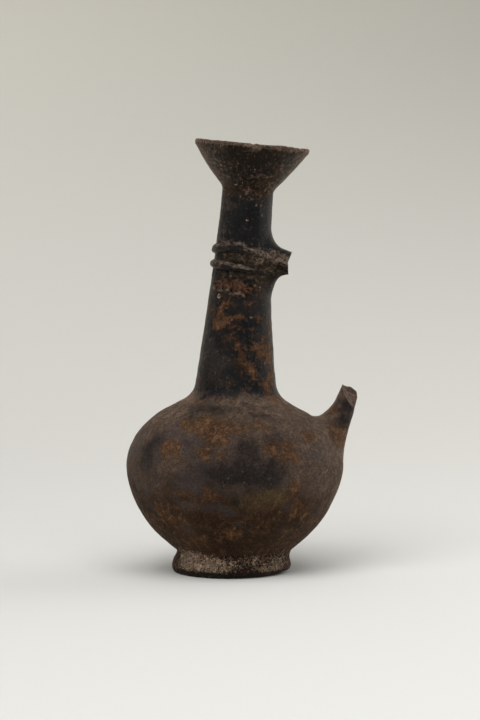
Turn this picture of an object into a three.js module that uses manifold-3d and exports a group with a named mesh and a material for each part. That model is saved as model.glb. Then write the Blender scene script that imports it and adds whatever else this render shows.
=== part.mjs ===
// A hand-built pottery ewer: a globular body on a ring foot, a tall neck that leans a little,
// a funnel mouth, two clay ridges round the neck, and the two roots of a strap handle that
// has broken away. Each mesh is one piece of clay as the potter made it, and the pieces meet
// in bevelled, socketed and pegged joints with a film of slip between them.
// Millimetres, +Z up. The handle side is +X.

import * as THREE from "three";
import { mergeVertices } from "three/addons/utils/BufferGeometryUtils.js";
import Module from "manifold-3d";

// Joints
const SLIP = 0.3; // film of slip in every joint, left as a gap between the two pieces

// Foot ring
const FOOT_RADIUS = 19.5; // at its widest
const FOOT_FLARE = 1.0; // how far the waist under the body draws in
const FOOT_WIDTH = 2.8; // across the seat that meets the body
const FOOT_SOLE = 2.2; // across the flat that stands on the table
const FOOT_EDGE_RISE = 1.9; // height of the widest point
const FOOT_EDGE_ROUND = 1.1; // how far the outer edge rounds in at the table
const FOOT_OFFSET = -0.6; // of the ring from the body's axis, as it was set by hand
const FOOT_SINK = 1; // height of the ring that the body's underside cuts away

// Body
const BELLY_RADIUS = 35;
const BELLY_HEIGHT = 34.5; // of the widest line above the table
const BASE_DROP = 33.8; // from the widest line to where the round of the base would close
const BASE_POWER = 1.81; // superellipse power: 2 is an ellipse, less is more conical
const BASE_LIFT = 5.2; // of the flat underside above the table
const SHOULDER_RISE = 24.6; // from the widest line to where the shoulder would close
const SHOULDER_POWER = 1.93;
const BODY_WALL = 3.2;
const BELLY_LAP = 4; // height of the bevel that joins the two halves of the body

// Neck
const NECK_BASE_RADIUS = 13.2;
const NECK_DRAW_RADIUS = 8.9; // pulls the taper in between base and top
const NECK_TOP_RADIUS = 8.1;
const NECK_LENGTH = 64;
const NECK_WALL = 2.7;
const NECK_FILLET_RISE = 3.3; // of the clay worked round the neck's foot
const NECK_FILLET_SPREAD = 2.6;
const NECK_FILLET_EDGE = 0.4; // thickness of that clay where it ends on the shoulder
const SPIGOT_WALL = 1.6; // of the neck's end that sits in the shoulder's hole
const MOUTH_LAP = 3; // height of the bevel that joins neck and mouth

// Funnel mouth
const FUNNEL_RISE = 13.8;
const RIM_RADIUS = 18.6;
const FUNNEL_SWELL = 0.15; // outward bow of the funnel's side
const LIP_WIDTH = 2.2;
const LIP_ROUND = 0.8; // rise of the rounded lip

// Lean: above BEND_START the axis follows an arc towards the handle side
const BEND_START = 28;
const BEND_RADIUS = 1030;

// Handle strap and its upper root, on the neck
const STRAP_HALF_WIDTH = 5.3;
const COLLAR_DROP = 22.7; // from the neck's top down to the middle of the upper root
const UPPER_ROOT_HALF_DEPTH = 3.5;
const UPPER_ROOT_REACH = 6.2; // of the break beyond the neck
const UPPER_ROOT_TOP_FLARE = 5.5; // spread of the root up the neck
const UPPER_ROOT_BOTTOM_FLARE = 9.5; // spread of the root down the neck
const BREAK_HOLLOW = 0.6; // how far a broken face dips in its middle

// Ridges round the neck, which run out along the sides of the upper root
const RIDGE_HALF_HEIGHT = 1.7;
const RIDGE_PROUD = 1.1;
const RIDGE_LEAVE_ANGLE = Math.PI / 3; // from the handle, where a ridge leaves the neck
const UPPER_RIDGE_OFFSET = 2.5; // above the middle of the root, at the far side of the neck
const UPPER_RIDGE_FALL = 2.2; // from the far side to the break
const UPPER_RIDGE_BOW = 1.2; // rise of its front and back over its far side
const UPPER_RIDGE_SETBACK = 0.6; // of its ends from the break
const LOWER_RIDGE_OFFSET = -2;
const LOWER_RIDGE_FALL = 0.8;
const LOWER_RIDGE_BOW = 0;
const LOWER_RIDGE_SETBACK = 4;

// Lower root, on the shoulder
const LOWER_ROOT_RISE = 11.5; // of its middle above the widest line
const LOWER_ROOT_SINK = 2.5; // how far the strap's curve starts inside the shoulder's face
const LOWER_ROOT_OUT = 6.4; // from the shoulder to the middle of the break, across
const LOWER_ROOT_UP = 13.7; // and upwards
const LOWER_ROOT_HALF_DEPTH = 3.4;
const LOWER_ROOT_INNER_FLARE = 6; // spread towards the neck
const LOWER_ROOT_OUTER_FLARE = 7; // spread down the belly
const LOWER_ROOT_SIDE_FLARE = 2.6;
const LOWER_ROOT_RUN = 4; // how far the strap's curve keeps the shoulder's own direction
const BREAK_SLOPE_FRONT = -0.8; // fall of the break from inner to outer face, at the front
const BREAK_SLOPE_BACK = 0.45; // and at the back
const TENON_HALF_WIDTH = 3.2; // of the peg that goes through the shoulder's wall
const TENON_HALF_DEPTH = 2;
const TENON_GRIP = 3; // length of the peg inside the root
const TENON_PROUD = 1; // of the peg's end past the inner face

// Facets
const TURN_STEPS = 48;
const ARC_STEPS = 10;
const EDGE_STEPS = 5;
const SECTION_STEPS = 20;
const LOFT_STEPS = 10;
const RIDGE_ARC_STEPS = 36;
const RIDGE_TAIL_STEPS = 7;
const RIDGE_SECTION_STEPS = 10;
const ROOT_SECTION_POWER = 3; // superellipse power of the strap's rounded oblong section
const FLARE_POWER = 3; // how sharply a root's flare dies away

const wasm = await Module();
wasm.setup();

const point = (radius, height) => new THREE.Vector2(radius, height);
const steps = (count) => Array.from({ length: count + 1 }, (_, i) => i / count);
const turns = (count) => Array.from({ length: count }, (_, i) => (2 * Math.PI * i) / count);

// Places that several pieces share
const bellyLapBottom = BELLY_HEIGHT - BELLY_LAP / 2;
const bellyLapTop = BELLY_HEIGHT + BELLY_LAP / 2;
const bellyLapShift = (SLIP * Math.hypot(BODY_WALL, BELLY_LAP)) / BODY_WALL;
const neckBase = shoulderHeight(NECK_BASE_RADIUS) + NECK_FILLET_RISE;
const neckTop = neckBase + NECK_LENGTH;
const mouthLapShift = (SLIP * Math.hypot(NECK_WALL, MOUTH_LAP)) / NECK_WALL;
const spigotRadius = NECK_BASE_RADIUS - NECK_WALL + SPIGOT_WALL;
const shoulderHoleRadius = spigotRadius + SLIP;
const collarHeight = neckTop - COLLAR_DROP;
const collarRadius = neckRadius(collarHeight);
const upperBreak = collarRadius + UPPER_ROOT_REACH;

// A point of the body's face, moved in by inset. The angle runs from -90 degrees at the
// bottom, through 0 at the widest line, to 90 degrees at the top.
function bodyPoint(angle, inset) {
  const below = angle < 0;
  const power = below ? BASE_POWER : SHOULDER_POWER;
  const rise = below ? inset - BASE_DROP : SHOULDER_RISE - inset;
  return point(
    (BELLY_RADIUS - inset) * Math.cos(angle) ** (2 / power),
    BELLY_HEIGHT + rise * Math.abs(Math.sin(angle)) ** (2 / power),
  );
}

// The angle at which the body's face reaches a height.
function angleAtHeight(height, inset) {
  const below = height < BELLY_HEIGHT;
  const power = below ? BASE_POWER : SHOULDER_POWER;
  const rise = below ? BASE_DROP - inset : SHOULDER_RISE - inset;
  const share = Math.min(1, Math.abs(height - BELLY_HEIGHT) / rise);
  return (below ? -1 : 1) * Math.asin(share ** (power / 2));
}

// The angle at which the shoulder's face reaches a radius.
function angleAtRadius(radius, inset) {
  const share = Math.min(1, radius / (BELLY_RADIUS - inset));
  return Math.acos(share ** (SHOULDER_POWER / 2));
}

// The height of the shoulder's face at a radius.
function shoulderHeight(radius, inset = 0) {
  return bodyPoint(angleAtRadius(radius, inset), inset).y;
}

// The height of the body's underside at a radius: round, then flat in the middle.
function undersideHeight(radius) {
  const share = Math.min(1, radius / BELLY_RADIUS);
  const round = BASE_DROP * (1 - share ** BASE_POWER) ** (1 / BASE_POWER);
  return Math.max(BELLY_HEIGHT - round, BASE_LIFT);
}

// Points along the body's face between two angles.
function bodyArc(from, to, inset) {
  return steps(ARC_STEPS).map((t) => bodyPoint(from + (to - from) * t, inset));
}

// The neck's outer radius at a height: a quadratic taper, straight past its ends.
function neckRadius(height) {
  const t = THREE.MathUtils.clamp((height - neckBase) / NECK_LENGTH, 0, 1);
  const u = 1 - t;
  return u * u * NECK_BASE_RADIUS + 2 * u * t * NECK_DRAW_RADIUS + t * t * NECK_TOP_RADIUS;
}

// A solid turned round the Z axis from a profile of radii and heights, given anticlockwise.
function turned(profile) {
  return new THREE.LatheGeometry(profile, TURN_STEPS).rotateX(Math.PI / 2);
}

// A closed solid through rings of points, with a fan to a middle point at each end.
function lofted(rings, startMiddle, endMiddle) {
  const count = rings[0].length;
  const positions = [...rings.flat(), startMiddle, endMiddle].flatMap((p) => [p.x, p.y, p.z]);
  const start = rings.length * count;
  const end = start + 1;
  const last = start - count;
  const index = [];
  for (let i = 0; i < count; i++) {
    const next = (i + 1) % count;
    for (let base = 0; base < last; base += count) {
      index.push(base + i, base + next, base + count + next);
      index.push(base + i, base + count + next, base + count + i);
    }
    index.push(start, next, i, end, last + i, last + next);
  }
  const geometry = new THREE.BufferGeometry();
  geometry.setAttribute("position", new THREE.Float32BufferAttribute(positions, 3));
  geometry.setIndex(index);
  return geometry;
}

// A geometry as a solid that can be joined and cut.
function solid(geometry) {
  const bare = new THREE.BufferGeometry();
  bare.setAttribute("position", geometry.getAttribute("position"));
  bare.setIndex(geometry.index);
  const merged = mergeVertices(bare);
  return new wasm.Manifold(
    new wasm.Mesh({
      numProp: 3,
      vertProperties: merged.getAttribute("position").array,
      triVerts: new Uint32Array(merged.index.array),
    }),
  );
}

// A solid back as a geometry.
function geometryOf(shape) {
  const mesh = shape.getMesh();
  const geometry = new THREE.BufferGeometry();
  geometry.setAttribute("position", new THREE.BufferAttribute(mesh.vertProperties, 3));
  geometry.setIndex(new THREE.BufferAttribute(mesh.triVerts, 1));
  return geometry;
}

// Carries a straight piece over to the leaning axis.
function leaned(geometry) {
  const place = geometry.getAttribute("position");
  for (let i = 0; i < place.count; i++) {
    const rise = place.getZ(i) - BEND_START;
    if (rise <= 0) continue;
    const angle = rise / BEND_RADIUS;
    const out = place.getX(i);
    place.setX(i, BEND_RADIUS * (1 - Math.cos(angle)) + out * Math.cos(angle));
    place.setZ(i, BEND_START + BEND_RADIUS * Math.sin(angle) - out * Math.sin(angle));
  }
  geometry.computeVertexNormals();
  return geometry;
}

// The whole body as a plain solid, grown by a film of slip, to cut what sits on it.
function bodyWithSlip() {
  const bottom = BASE_LIFT - SLIP;
  const profile = [
    point(0, bottom),
    ...bodyArc(angleAtHeight(bottom, -SLIP), 0, -SLIP),
    ...bodyArc(0, Math.PI / 2, -SLIP).slice(1),
  ];
  profile[profile.length - 1].x = 0;
  return solid(turned(profile));
}

// The neck as a plain solid, grown by a film of slip, to cut what sits on it.
function neckWithSlip() {
  const side = steps(2 * ARC_STEPS).map((t) => {
    const height = neckBase + NECK_LENGTH * t;
    return point(neckRadius(height) + SLIP, height);
  });
  return solid(turned([point(0, neckBase), ...side, point(0, neckTop)]));
}

// The ring foot: its seat follows the underside of the body, and its sole is flat.
function footRing() {
  const waist = FOOT_RADIUS - FOOT_FLARE;
  const inner = waist - FOOT_WIDTH;
  const waistTop = undersideHeight(waist);
  const innerTop = undersideHeight(inner);
  const soleOuter = FOOT_RADIUS - FOOT_EDGE_ROUND;
  const edge = new THREE.QuadraticBezierCurve(
    point(soleOuter, 0),
    point(FOOT_RADIUS, 0),
    point(FOOT_RADIUS, FOOT_EDGE_RISE),
  );
  const side = new THREE.QuadraticBezierCurve(
    point(FOOT_RADIUS, FOOT_EDGE_RISE),
    point(waist, (FOOT_EDGE_RISE + waistTop) / 2),
    point(waist, waistTop),
  );
  const innerSide = new THREE.QuadraticBezierCurve(
    point(inner, innerTop),
    point(inner, 0),
    point(soleOuter - FOOT_SOLE, 0),
  );
  const ring = turned([
    ...edge.getPoints(EDGE_STEPS),
    ...side.getPoints(EDGE_STEPS).slice(1),
    point(waist, waistTop + FOOT_SINK),
    point(inner, innerTop + FOOT_SINK),
    ...innerSide.getPoints(EDGE_STEPS),
    point(soleOuter, 0),
  ]);
  return geometryOf(solid(ring.translate(FOOT_OFFSET, 0, 0)).subtract(bodyWithSlip()));
}

// The lower half of the body: a bowl with a flat underside and a rim bevelled to lap inside.
function lowerBody() {
  const floor = BASE_LIFT + BODY_WALL;
  return turned([
    point(0, BASE_LIFT),
    ...bodyArc(angleAtHeight(BASE_LIFT, 0), angleAtHeight(bellyLapBottom, 0), 0),
    ...bodyArc(angleAtHeight(bellyLapTop, BODY_WALL), angleAtHeight(floor, BODY_WALL), BODY_WALL),
    point(0, floor),
  ]);
}

// The peg of the lower root, along the shoulder's own normal, grown by a clearance.
function tenon(clearance) {
  const { middle, normal, uphill } = lowerRootSeat();
  const ends = [-(BODY_WALL + TENON_PROUD + clearance), TENON_GRIP];
  const centre = (distance) => middle.clone().addScaledVector(normal, distance);
  const ring = (distance) =>
    turns(SECTION_STEPS).map((turn) => {
      const up = (TENON_HALF_DEPTH + clearance) * roundedOblong(Math.sin(turn));
      const across = (TENON_HALF_WIDTH + clearance) * roundedOblong(Math.cos(turn));
      return onPlan(centre(distance).addScaledVector(uphill, up), across);
    });
  const [inner, outer] = ends.map((distance) => onPlan(centre(distance), 0));
  return solid(lofted(ends.map(ring), inner, outer));
}

// A sine or cosine, squared up so that a circle becomes a rounded oblong.
function roundedOblong(value) {
  return Math.sign(value) * Math.abs(value) ** (2 / ROOT_SECTION_POWER);
}

// A point of the upright plane through the handle, at a place across that plane.
function onPlan(flat, across) {
  return new THREE.Vector3(flat.x, across, flat.y);
}

// Where the lower root meets the shoulder: the middle of its seat, the shoulder's normal
// there, and the direction up the shoulder.
function lowerRootSeat() {
  const angle = angleAtHeight(BELLY_HEIGHT + LOWER_ROOT_RISE, 0);
  const middle = bodyPoint(angle, 0);
  const uphill = bodyPoint(angle + 0.01, 0).sub(bodyPoint(angle - 0.01, 0)).normalize();
  return { middle, normal: point(uphill.y, -uphill.x), uphill };
}

// The upper half of the body: the shoulder, holed for the neck and for the handle's peg.
function upperBody() {
  const outer = bodyArc(
    angleAtHeight(bellyLapBottom + bellyLapShift, 0),
    angleAtRadius(shoulderHoleRadius, 0),
    0,
  );
  const inner = bodyArc(
    angleAtRadius(shoulderHoleRadius, BODY_WALL),
    angleAtHeight(bellyLapTop + bellyLapShift, BODY_WALL),
    BODY_WALL,
  );
  const shell = solid(turned([...outer, ...inner, outer[0]]));
  return geometryOf(shell.subtract(tenon(SLIP)));
}

// The neck: a tapered tube whose spigot sits in the shoulder's hole, with a spread foot.
function neck() {
  const seat = (radius) => point(radius, shoulderHeight(radius, -SLIP));
  const spread = seat(NECK_BASE_RADIUS + NECK_FILLET_SPREAD);
  const edge = point(spread.x, spread.y + NECK_FILLET_EDGE);
  const corner = point(NECK_BASE_RADIUS, edge.y + NECK_FILLET_EDGE);
  const fillet = new THREE.QuadraticBezierCurve(edge, corner, point(NECK_BASE_RADIUS, neckBase));
  const outerTop = neckTop - MOUTH_LAP / 2;
  const outer = steps(ARC_STEPS).map((t) => {
    const height = neckBase + (outerTop - neckBase) * t;
    return point(neckRadius(height), height);
  });
  const innerTop = neckTop + MOUTH_LAP / 2;
  const bore = steps(ARC_STEPS).map((t) => {
    const height = innerTop + (neckBase - innerTop) * t;
    return point(neckRadius(height) - NECK_WALL, height);
  });
  const spigotEnd = shoulderHeight(shoulderHoleRadius, BODY_WALL);
  const bed = steps(EDGE_STEPS).map((t) => seat(spigotRadius + (spread.x - spigotRadius) * t));
  return turned([
    ...bed,
    ...fillet.getPoints(EDGE_STEPS),
    ...outer.slice(1),
    ...bore,
    point(spigotRadius - SPIGOT_WALL, spigotEnd),
    point(spigotRadius, spigotEnd),
    bed[0],
  ]);
}

// The funnel mouth: a slightly bowed cone with a rounded lip, bevelled to sit on the neck.
function funnelMouth() {
  const rim = neckTop + FUNNEL_RISE;
  const start = neckTop - MOUTH_LAP / 2 + mouthLapShift;
  const throat = NECK_TOP_RADIUS - NECK_WALL;
  const middle = point(
    (NECK_TOP_RADIUS + RIM_RADIUS) / 2 + 2 * FUNNEL_SWELL,
    (neckTop + rim) / 2 - 2 * FUNNEL_SWELL,
  );
  const side = new THREE.QuadraticBezierCurve(
    point(NECK_TOP_RADIUS, neckTop),
    middle,
    point(RIM_RADIUS, rim),
  );
  const lip = steps(EDGE_STEPS).map((t) =>
    point(
      RIM_RADIUS - (LIP_WIDTH / 2) * (1 - Math.cos(Math.PI * t)),
      rim + LIP_ROUND * Math.sin(Math.PI * t),
    ),
  );
  const throatTop = neckTop + MOUTH_LAP / 2 + mouthLapShift;
  return turned([
    point(neckRadius(start), start),
    ...side.getPoints(EDGE_STEPS),
    ...lip.slice(1),
    point(throat, throatTop),
    point(neckRadius(start), start),
  ]);
}

// Half the width of the upper root, with its ridges, at a distance from the neck's axis: it
// leaves the neck's round along a tangent and eases into the strap's own width.
function collarHalfWidth(out, radius) {
  const leaveOut = radius * Math.cos(RIDGE_LEAVE_ANGLE);
  const flare = radius * Math.sin(RIDGE_LEAVE_ANGLE) - STRAP_HALF_WIDTH;
  const run = 2 * flare * Math.tan(RIDGE_LEAVE_ANGLE);
  const left = THREE.MathUtils.clamp(1 - (out - leaveOut) / run, 0, 1);
  return STRAP_HALF_WIDTH + flare * left * left;
}

// The stub of the strap on the neck, flared where it joins and broken at its end. It starts
// inside the neck. A clearance grows it, to cut the ridges that pass it.
function upperStub(clearance) {
  const start = collarRadius * Math.cos(RIDGE_LEAVE_ANGLE);
  const end = upperBreak + clearance;
  const ring = (out) => {
    const near = THREE.MathUtils.clamp((upperBreak - out) / UPPER_ROOT_REACH, 0, 1) ** FLARE_POWER;
    const top = UPPER_ROOT_HALF_DEPTH + UPPER_ROOT_TOP_FLARE * near + clearance;
    const bottom = UPPER_ROOT_HALF_DEPTH + UPPER_ROOT_BOTTOM_FLARE * near + clearance;
    const width = collarHalfWidth(out, collarRadius) + clearance;
    return turns(SECTION_STEPS).map((turn) => {
      const rise = roundedOblong(Math.sin(turn)) * (Math.sin(turn) > 0 ? top : bottom);
      return new THREE.Vector3(out, width * roundedOblong(Math.cos(turn)), collarHeight + rise);
    });
  };
  const rings = steps(LOFT_STEPS).map((t) => ring(start + (end - start) * t));
  const middle = (out) => new THREE.Vector3(out, 0, collarHeight);
  return solid(lofted(rings, middle(start), middle(end - BREAK_HOLLOW)));
}

// The upper root: the stub, cut to sit on the neck.
function upperRoot() {
  return geometryOf(upperStub(0).subtract(neckWithSlip()));
}

// The plan of a ridge: along one side of the root, round the neck, and along the other side.
function ridgePlan(radius, setback) {
  const leaveOut = radius * Math.cos(RIDGE_LEAVE_ANGLE);
  const end = upperBreak - setback;
  const tail = steps(RIDGE_TAIL_STEPS)
    .slice(1)
    .map((t) => {
      const out = leaveOut + (end - leaveOut) * t;
      return point(out, collarHalfWidth(out, radius));
    });
  const round = steps(RIDGE_ARC_STEPS).map((t) => {
    const turn = RIDGE_LEAVE_ANGLE + (2 * Math.PI - 2 * RIDGE_LEAVE_ANGLE) * t;
    return point(radius * Math.cos(turn), radius * Math.sin(turn));
  });
  const mirrored = tail.map((p) => point(p.x, -p.y));
  return [...tail.reverse(), ...round, ...mirrored];
}

// A ridge as a whole strip of clay round the neck, half sunk in it: it falls a little towards
// the handle and bows up at the front and the back. A clearance grows it.
function ridgeStrip({ offset, fall, bow, setback }, clearance) {
  const height = collarHeight + offset;
  const radius = neckRadius(height);
  const plan = ridgePlan(radius, setback);
  const middle = (p) => {
    const along = (p.x + radius) / (upperBreak + radius);
    return new THREE.Vector3(p.x, p.y, height - fall * along + bow * (p.y / radius) ** 2);
  };
  const rings = plan.map((p, i) => {
    const before = plan[Math.max(0, i - 1)];
    const after = plan[Math.min(plan.length - 1, i + 1)];
    const along = after.clone().sub(before).normalize();
    return turns(RIDGE_SECTION_STEPS).map((turn) => {
      const out = (RIDGE_PROUD + clearance) * Math.cos(turn);
      const down = (RIDGE_HALF_HEIGHT + clearance) * Math.sin(turn);
      return middle(p).add(new THREE.Vector3(along.y * out, -along.x * out, -down));
    });
  });
  return solid(lofted(rings, middle(plan[0]), middle(plan[plan.length - 1])));
}

// The lower ridge, whole. A clearance grows it, to cut the upper ridge.
function lowerRidge(clearance) {
  const shape = {
    offset: LOWER_RIDGE_OFFSET,
    fall: LOWER_RIDGE_FALL,
    bow: LOWER_RIDGE_BOW,
    setback: LOWER_RIDGE_SETBACK,
  };
  return ridgeStrip(shape, clearance);
}

// The upper ridge, cut where the lower ridge passes close under it.
function upperRidge() {
  const shape = {
    offset: UPPER_RIDGE_OFFSET,
    fall: UPPER_RIDGE_FALL,
    bow: UPPER_RIDGE_BOW,
    setback: UPPER_RIDGE_SETBACK,
  };
  return ridgeStrip(shape, 0).subtract(lowerRidge(SLIP));
}

// A ridge with the neck and the root cut away from it.
function seated(ridge) {
  return geometryOf(ridge.subtract(neckWithSlip()).subtract(upperStub(SLIP)));
}

// The lower root: the stub of the strap on the shoulder, with its peg.
function lowerRoot() {
  const { middle, normal } = lowerRootSeat();
  const top = middle.clone().add(point(LOWER_ROOT_OUT, LOWER_ROOT_UP));
  const curve = new THREE.QuadraticBezierCurve(
    middle.clone().addScaledVector(normal, -LOWER_ROOT_SINK),
    middle.clone().addScaledVector(normal, LOWER_ROOT_RUN),
    top,
  );
  const breakSlope = (across) =>
    THREE.MathUtils.mapLinear(
      across,
      -STRAP_HALF_WIDTH,
      STRAP_HALF_WIDTH,
      BREAK_SLOPE_FRONT,
      BREAK_SLOPE_BACK,
    );
  const ring = (t) => {
    const near = (1 - t) ** FLARE_POWER;
    const inner = LOWER_ROOT_HALF_DEPTH + LOWER_ROOT_INNER_FLARE * near;
    const outer = LOWER_ROOT_HALF_DEPTH + LOWER_ROOT_OUTER_FLARE * near;
    const width = STRAP_HALF_WIDTH + LOWER_ROOT_SIDE_FLARE * near;
    const along = curve.getTangent(t);
    const inward = point(-along.y, along.x);
    return turns(SECTION_STEPS).map((turn) => {
      const depth = roundedOblong(Math.sin(turn)) * (Math.sin(turn) > 0 ? inner : outer);
      const across = width * roundedOblong(Math.cos(turn));
      const slant = -depth * breakSlope(across) * t;
      const flat = curve.getPoint(t).addScaledVector(inward, depth);
      return onPlan(flat.addScaledVector(along, slant), across);
    });
  };
  const rings = steps(LOFT_STEPS).map(ring);
  const dip = curve.getPoint(1).addScaledVector(curve.getTangent(1), -BREAK_HOLLOW);
  const stub = solid(lofted(rings, onPlan(curve.getPoint(0), 0), onPlan(dip, 0)));
  return geometryOf(stub.subtract(bodyWithSlip()).add(tenon(0)));
}

// One named piece of clay with its own finish.
function piece(name, geometry, color, roughness) {
  const material = new THREE.MeshStandardMaterial({ color, roughness, metalness: 0 });
  const mesh = new THREE.Mesh(leaned(geometry), material);
  mesh.name = name;
  return mesh;
}

const vessel = new THREE.Group();
vessel.add(
  piece("foot_ring", footRing(), "#6f6254", 0.85),
  piece("lower_body", lowerBody(), "#493a30", 0.65),
  piece("upper_body", upperBody(), "#4a3c34", 0.6),
  piece("neck", neck(), "#34302d", 0.55),
  piece("funnel_mouth", funnelMouth(), "#322a24", 0.6),
  piece("neck_ridge_upper", seated(upperRidge()), "#3d342e", 0.6),
  piece("neck_ridge_lower", seated(lowerRidge(0)), "#3d342e", 0.6),
  piece("handle_root_upper", upperRoot(), "#3a3430", 0.6),
  piece("handle_root_lower", lowerRoot(), "#40352e", 0.65),
);

// The origin is under the middle of the whole object's footprint, on the table.
const bounds = new THREE.Box3().setFromObject(vessel);
const middle = bounds.getCenter(new THREE.Vector3());
vessel.position.set(-middle.x, -middle.y, -bounds.min.z);

const ewer = new THREE.Group();
ewer.add(vessel);

export default ewer;
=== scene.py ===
"""Dress a small hand-built pottery ewer in weathered, burnished clay.

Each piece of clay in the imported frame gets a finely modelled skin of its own. The skins share one
straight vessel form, one hand-made unevenness and one set of weathering masks, so that the joins
between the pieces don't show, and the whole vessel is leant at the end as the potter's neck leans.

Lengths are millimetres on the straight vessel: x towards the handle, y to the back, s up the axis.
Only the finished meshes, the lights and the camera are in metres.
"""

import logging
import math
from abc import ABC, abstractmethod
from collections.abc import Callable, Sequence
from dataclasses import dataclass
from enum import Enum, IntEnum
from itertools import product

import bpy
import numpy as np
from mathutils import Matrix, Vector
from numpy.typing import NDArray


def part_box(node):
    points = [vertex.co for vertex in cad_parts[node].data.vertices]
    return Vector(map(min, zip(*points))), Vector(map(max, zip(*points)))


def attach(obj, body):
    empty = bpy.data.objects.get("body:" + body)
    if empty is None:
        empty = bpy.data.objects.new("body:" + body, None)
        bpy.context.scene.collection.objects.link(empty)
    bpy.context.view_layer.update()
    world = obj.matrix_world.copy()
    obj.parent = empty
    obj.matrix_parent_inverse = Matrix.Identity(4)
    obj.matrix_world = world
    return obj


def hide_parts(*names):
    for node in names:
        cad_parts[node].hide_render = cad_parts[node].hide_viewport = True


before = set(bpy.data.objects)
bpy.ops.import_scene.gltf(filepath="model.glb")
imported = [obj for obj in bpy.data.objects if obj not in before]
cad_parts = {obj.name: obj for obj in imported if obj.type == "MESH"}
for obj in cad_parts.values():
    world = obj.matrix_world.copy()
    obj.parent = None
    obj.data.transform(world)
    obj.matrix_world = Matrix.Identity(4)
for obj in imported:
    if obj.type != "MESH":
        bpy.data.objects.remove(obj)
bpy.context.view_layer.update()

Array = NDArray[np.float64]
Place = Sequence[Array]
Socket = bpy.types.NodeSocket
Colour = tuple[int, int, int]
Span = tuple[float, float]
Triple = tuple[float, float, float]
MM = 0.001
TURN = 2 * math.pi
CREASE = math.radians(48)
TINY = 1e-6
STEP = 1e-3
PRIMES = (374761393, 668265263, 2246822519, 3266489917)
WORD = 2**32
FINER_STRENGTH = 0.55
FINER_SEED = 17
NOISE_GAIN = 1.5
LOG = logging.getLogger("ewer")

# Cells per metre of the shaders' noises, from clouds to powder
CLOUD_SCALE = 75.0
STAIN_SCALE = 230.0
FLAKE_SCALE = 480.0
GRIT_SCALE = 900.0
SCRATCH_SCALE = 1500.0
POWDER_SCALE = 1900.0


class Seed(IntEnum):
    """The numbers of the noise patterns, so that each unevenness and stain has its own."""

    LUMPS = 3
    DENTS = 5
    GRIT = 7
    RUBBLE = 9
    BROWN = 41
    UMBER = 47
    RUST = 53
    SOOT = 67
    CRUST = 71
    PITS = 83
    LIP = 91
    CHIPS = 97
    UPPER_EDGE = 113
    UPPER_BREAK = 117
    LOWER_EDGE = 123
    LOWER_BREAK = 127
    UPPER_RIDGE = 131
    LOWER_RIDGE = 141
    SWAY_X = 301
    SWAY_Y = 302
    SWAY_S = 303


def smooth_step(low: Array | float, high: Array | float, value: Array) -> Array:
    """Ease from 0 to 1, by 3t^2 - 2t^3, as the value goes from low up or down to high."""
    t = np.clip((value - low) / (high - low), 0.0, 1.0)
    return t * t * (3 - 2 * t)


def lattice_noise(place: Place, size: float, seed: int) -> Array:
    """Smooth noise from -1 to 1: hashed values on a cubic lattice, eased between its corners.

    Args:
        place: The three coordinates of the points.
        size: Edge of a lattice cell, in the unit of the coordinates.
        seed: Number of the pattern.

    Returns:
        One noise value for each point.
    """
    cells, parts = [], []
    for coordinate in np.broadcast_arrays(*place):
        scaled = coordinate / size
        floor = np.floor(scaled)
        part = scaled - floor
        cells.append(floor.astype(np.int64).astype(np.uint32))
        parts.append(part * part * part * (part * (part * 6 - 15) + 10))
    total = 0.0
    for corner in product((0, 1), repeat=3):
        mixed, weight = np.uint32(seed * PRIMES[3] % WORD), 1.0
        for cell, part, step, prime in zip(cells, parts, corner, PRIMES):
            mixed = mixed + (cell + np.uint32(step)) * np.uint32(prime)
            weight = weight * (part if step else 1 - part)
        for shift, prime in ((15, PRIMES[2]), (13, PRIMES[3])):
            mixed = (mixed ^ (mixed >> np.uint32(shift))) * np.uint32(prime)
        total = total + weight * (((mixed >> np.uint32(8)) & np.uint32(0xFFFF)) / 32767.5 - 1.0)
    return total


def layered_noise(place: Place, size: float, seed: int, layers: int = 3) -> Array:
    """Sum of lattice noises, each half as large and about half as strong as the one before.

    Args:
        place: The three coordinates of the points.
        size: Cell of the coarsest layer.
        seed: Number of the pattern.
        layers: How many layers are summed.

    Returns:
        Noise values, mostly between -1 and 1.
    """
    total, strength, whole = 0.0, 1.0, 0.0
    for layer in range(layers):
        total = total + strength * lattice_noise(place, size / 2**layer, seed + FINER_SEED * layer)
        whole += strength
        strength *= FINER_STRENGTH
    return total / whole * NOISE_GAIN


def bezier(t: Array | float, *corners: Array | float) -> Array:
    """Bezier curve through its end corners, by repeated straight mixing.

    Args:
        t: Places along the curve, 0 to 1, shaped to broadcast against the corners.
        corners: Control points, each a number or an array whose last axis is the coordinates.

    Returns:
        The points of the curve.
    """
    points = list(corners)
    while len(points) > 1:
        points = [a + (b - a) * t for a, b in zip(points, points[1:])]
    return points[0]


def lengths(vectors: Array) -> Array:
    """The lengths of vectors, which lie along the last axis."""
    return np.linalg.norm(vectors, axis=-1, keepdims=True)


def unit(vectors: Array) -> Array:
    """The directions of vectors, which lie along the last axis."""
    return vectors / (lengths(vectors) + 1e-12)


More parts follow.
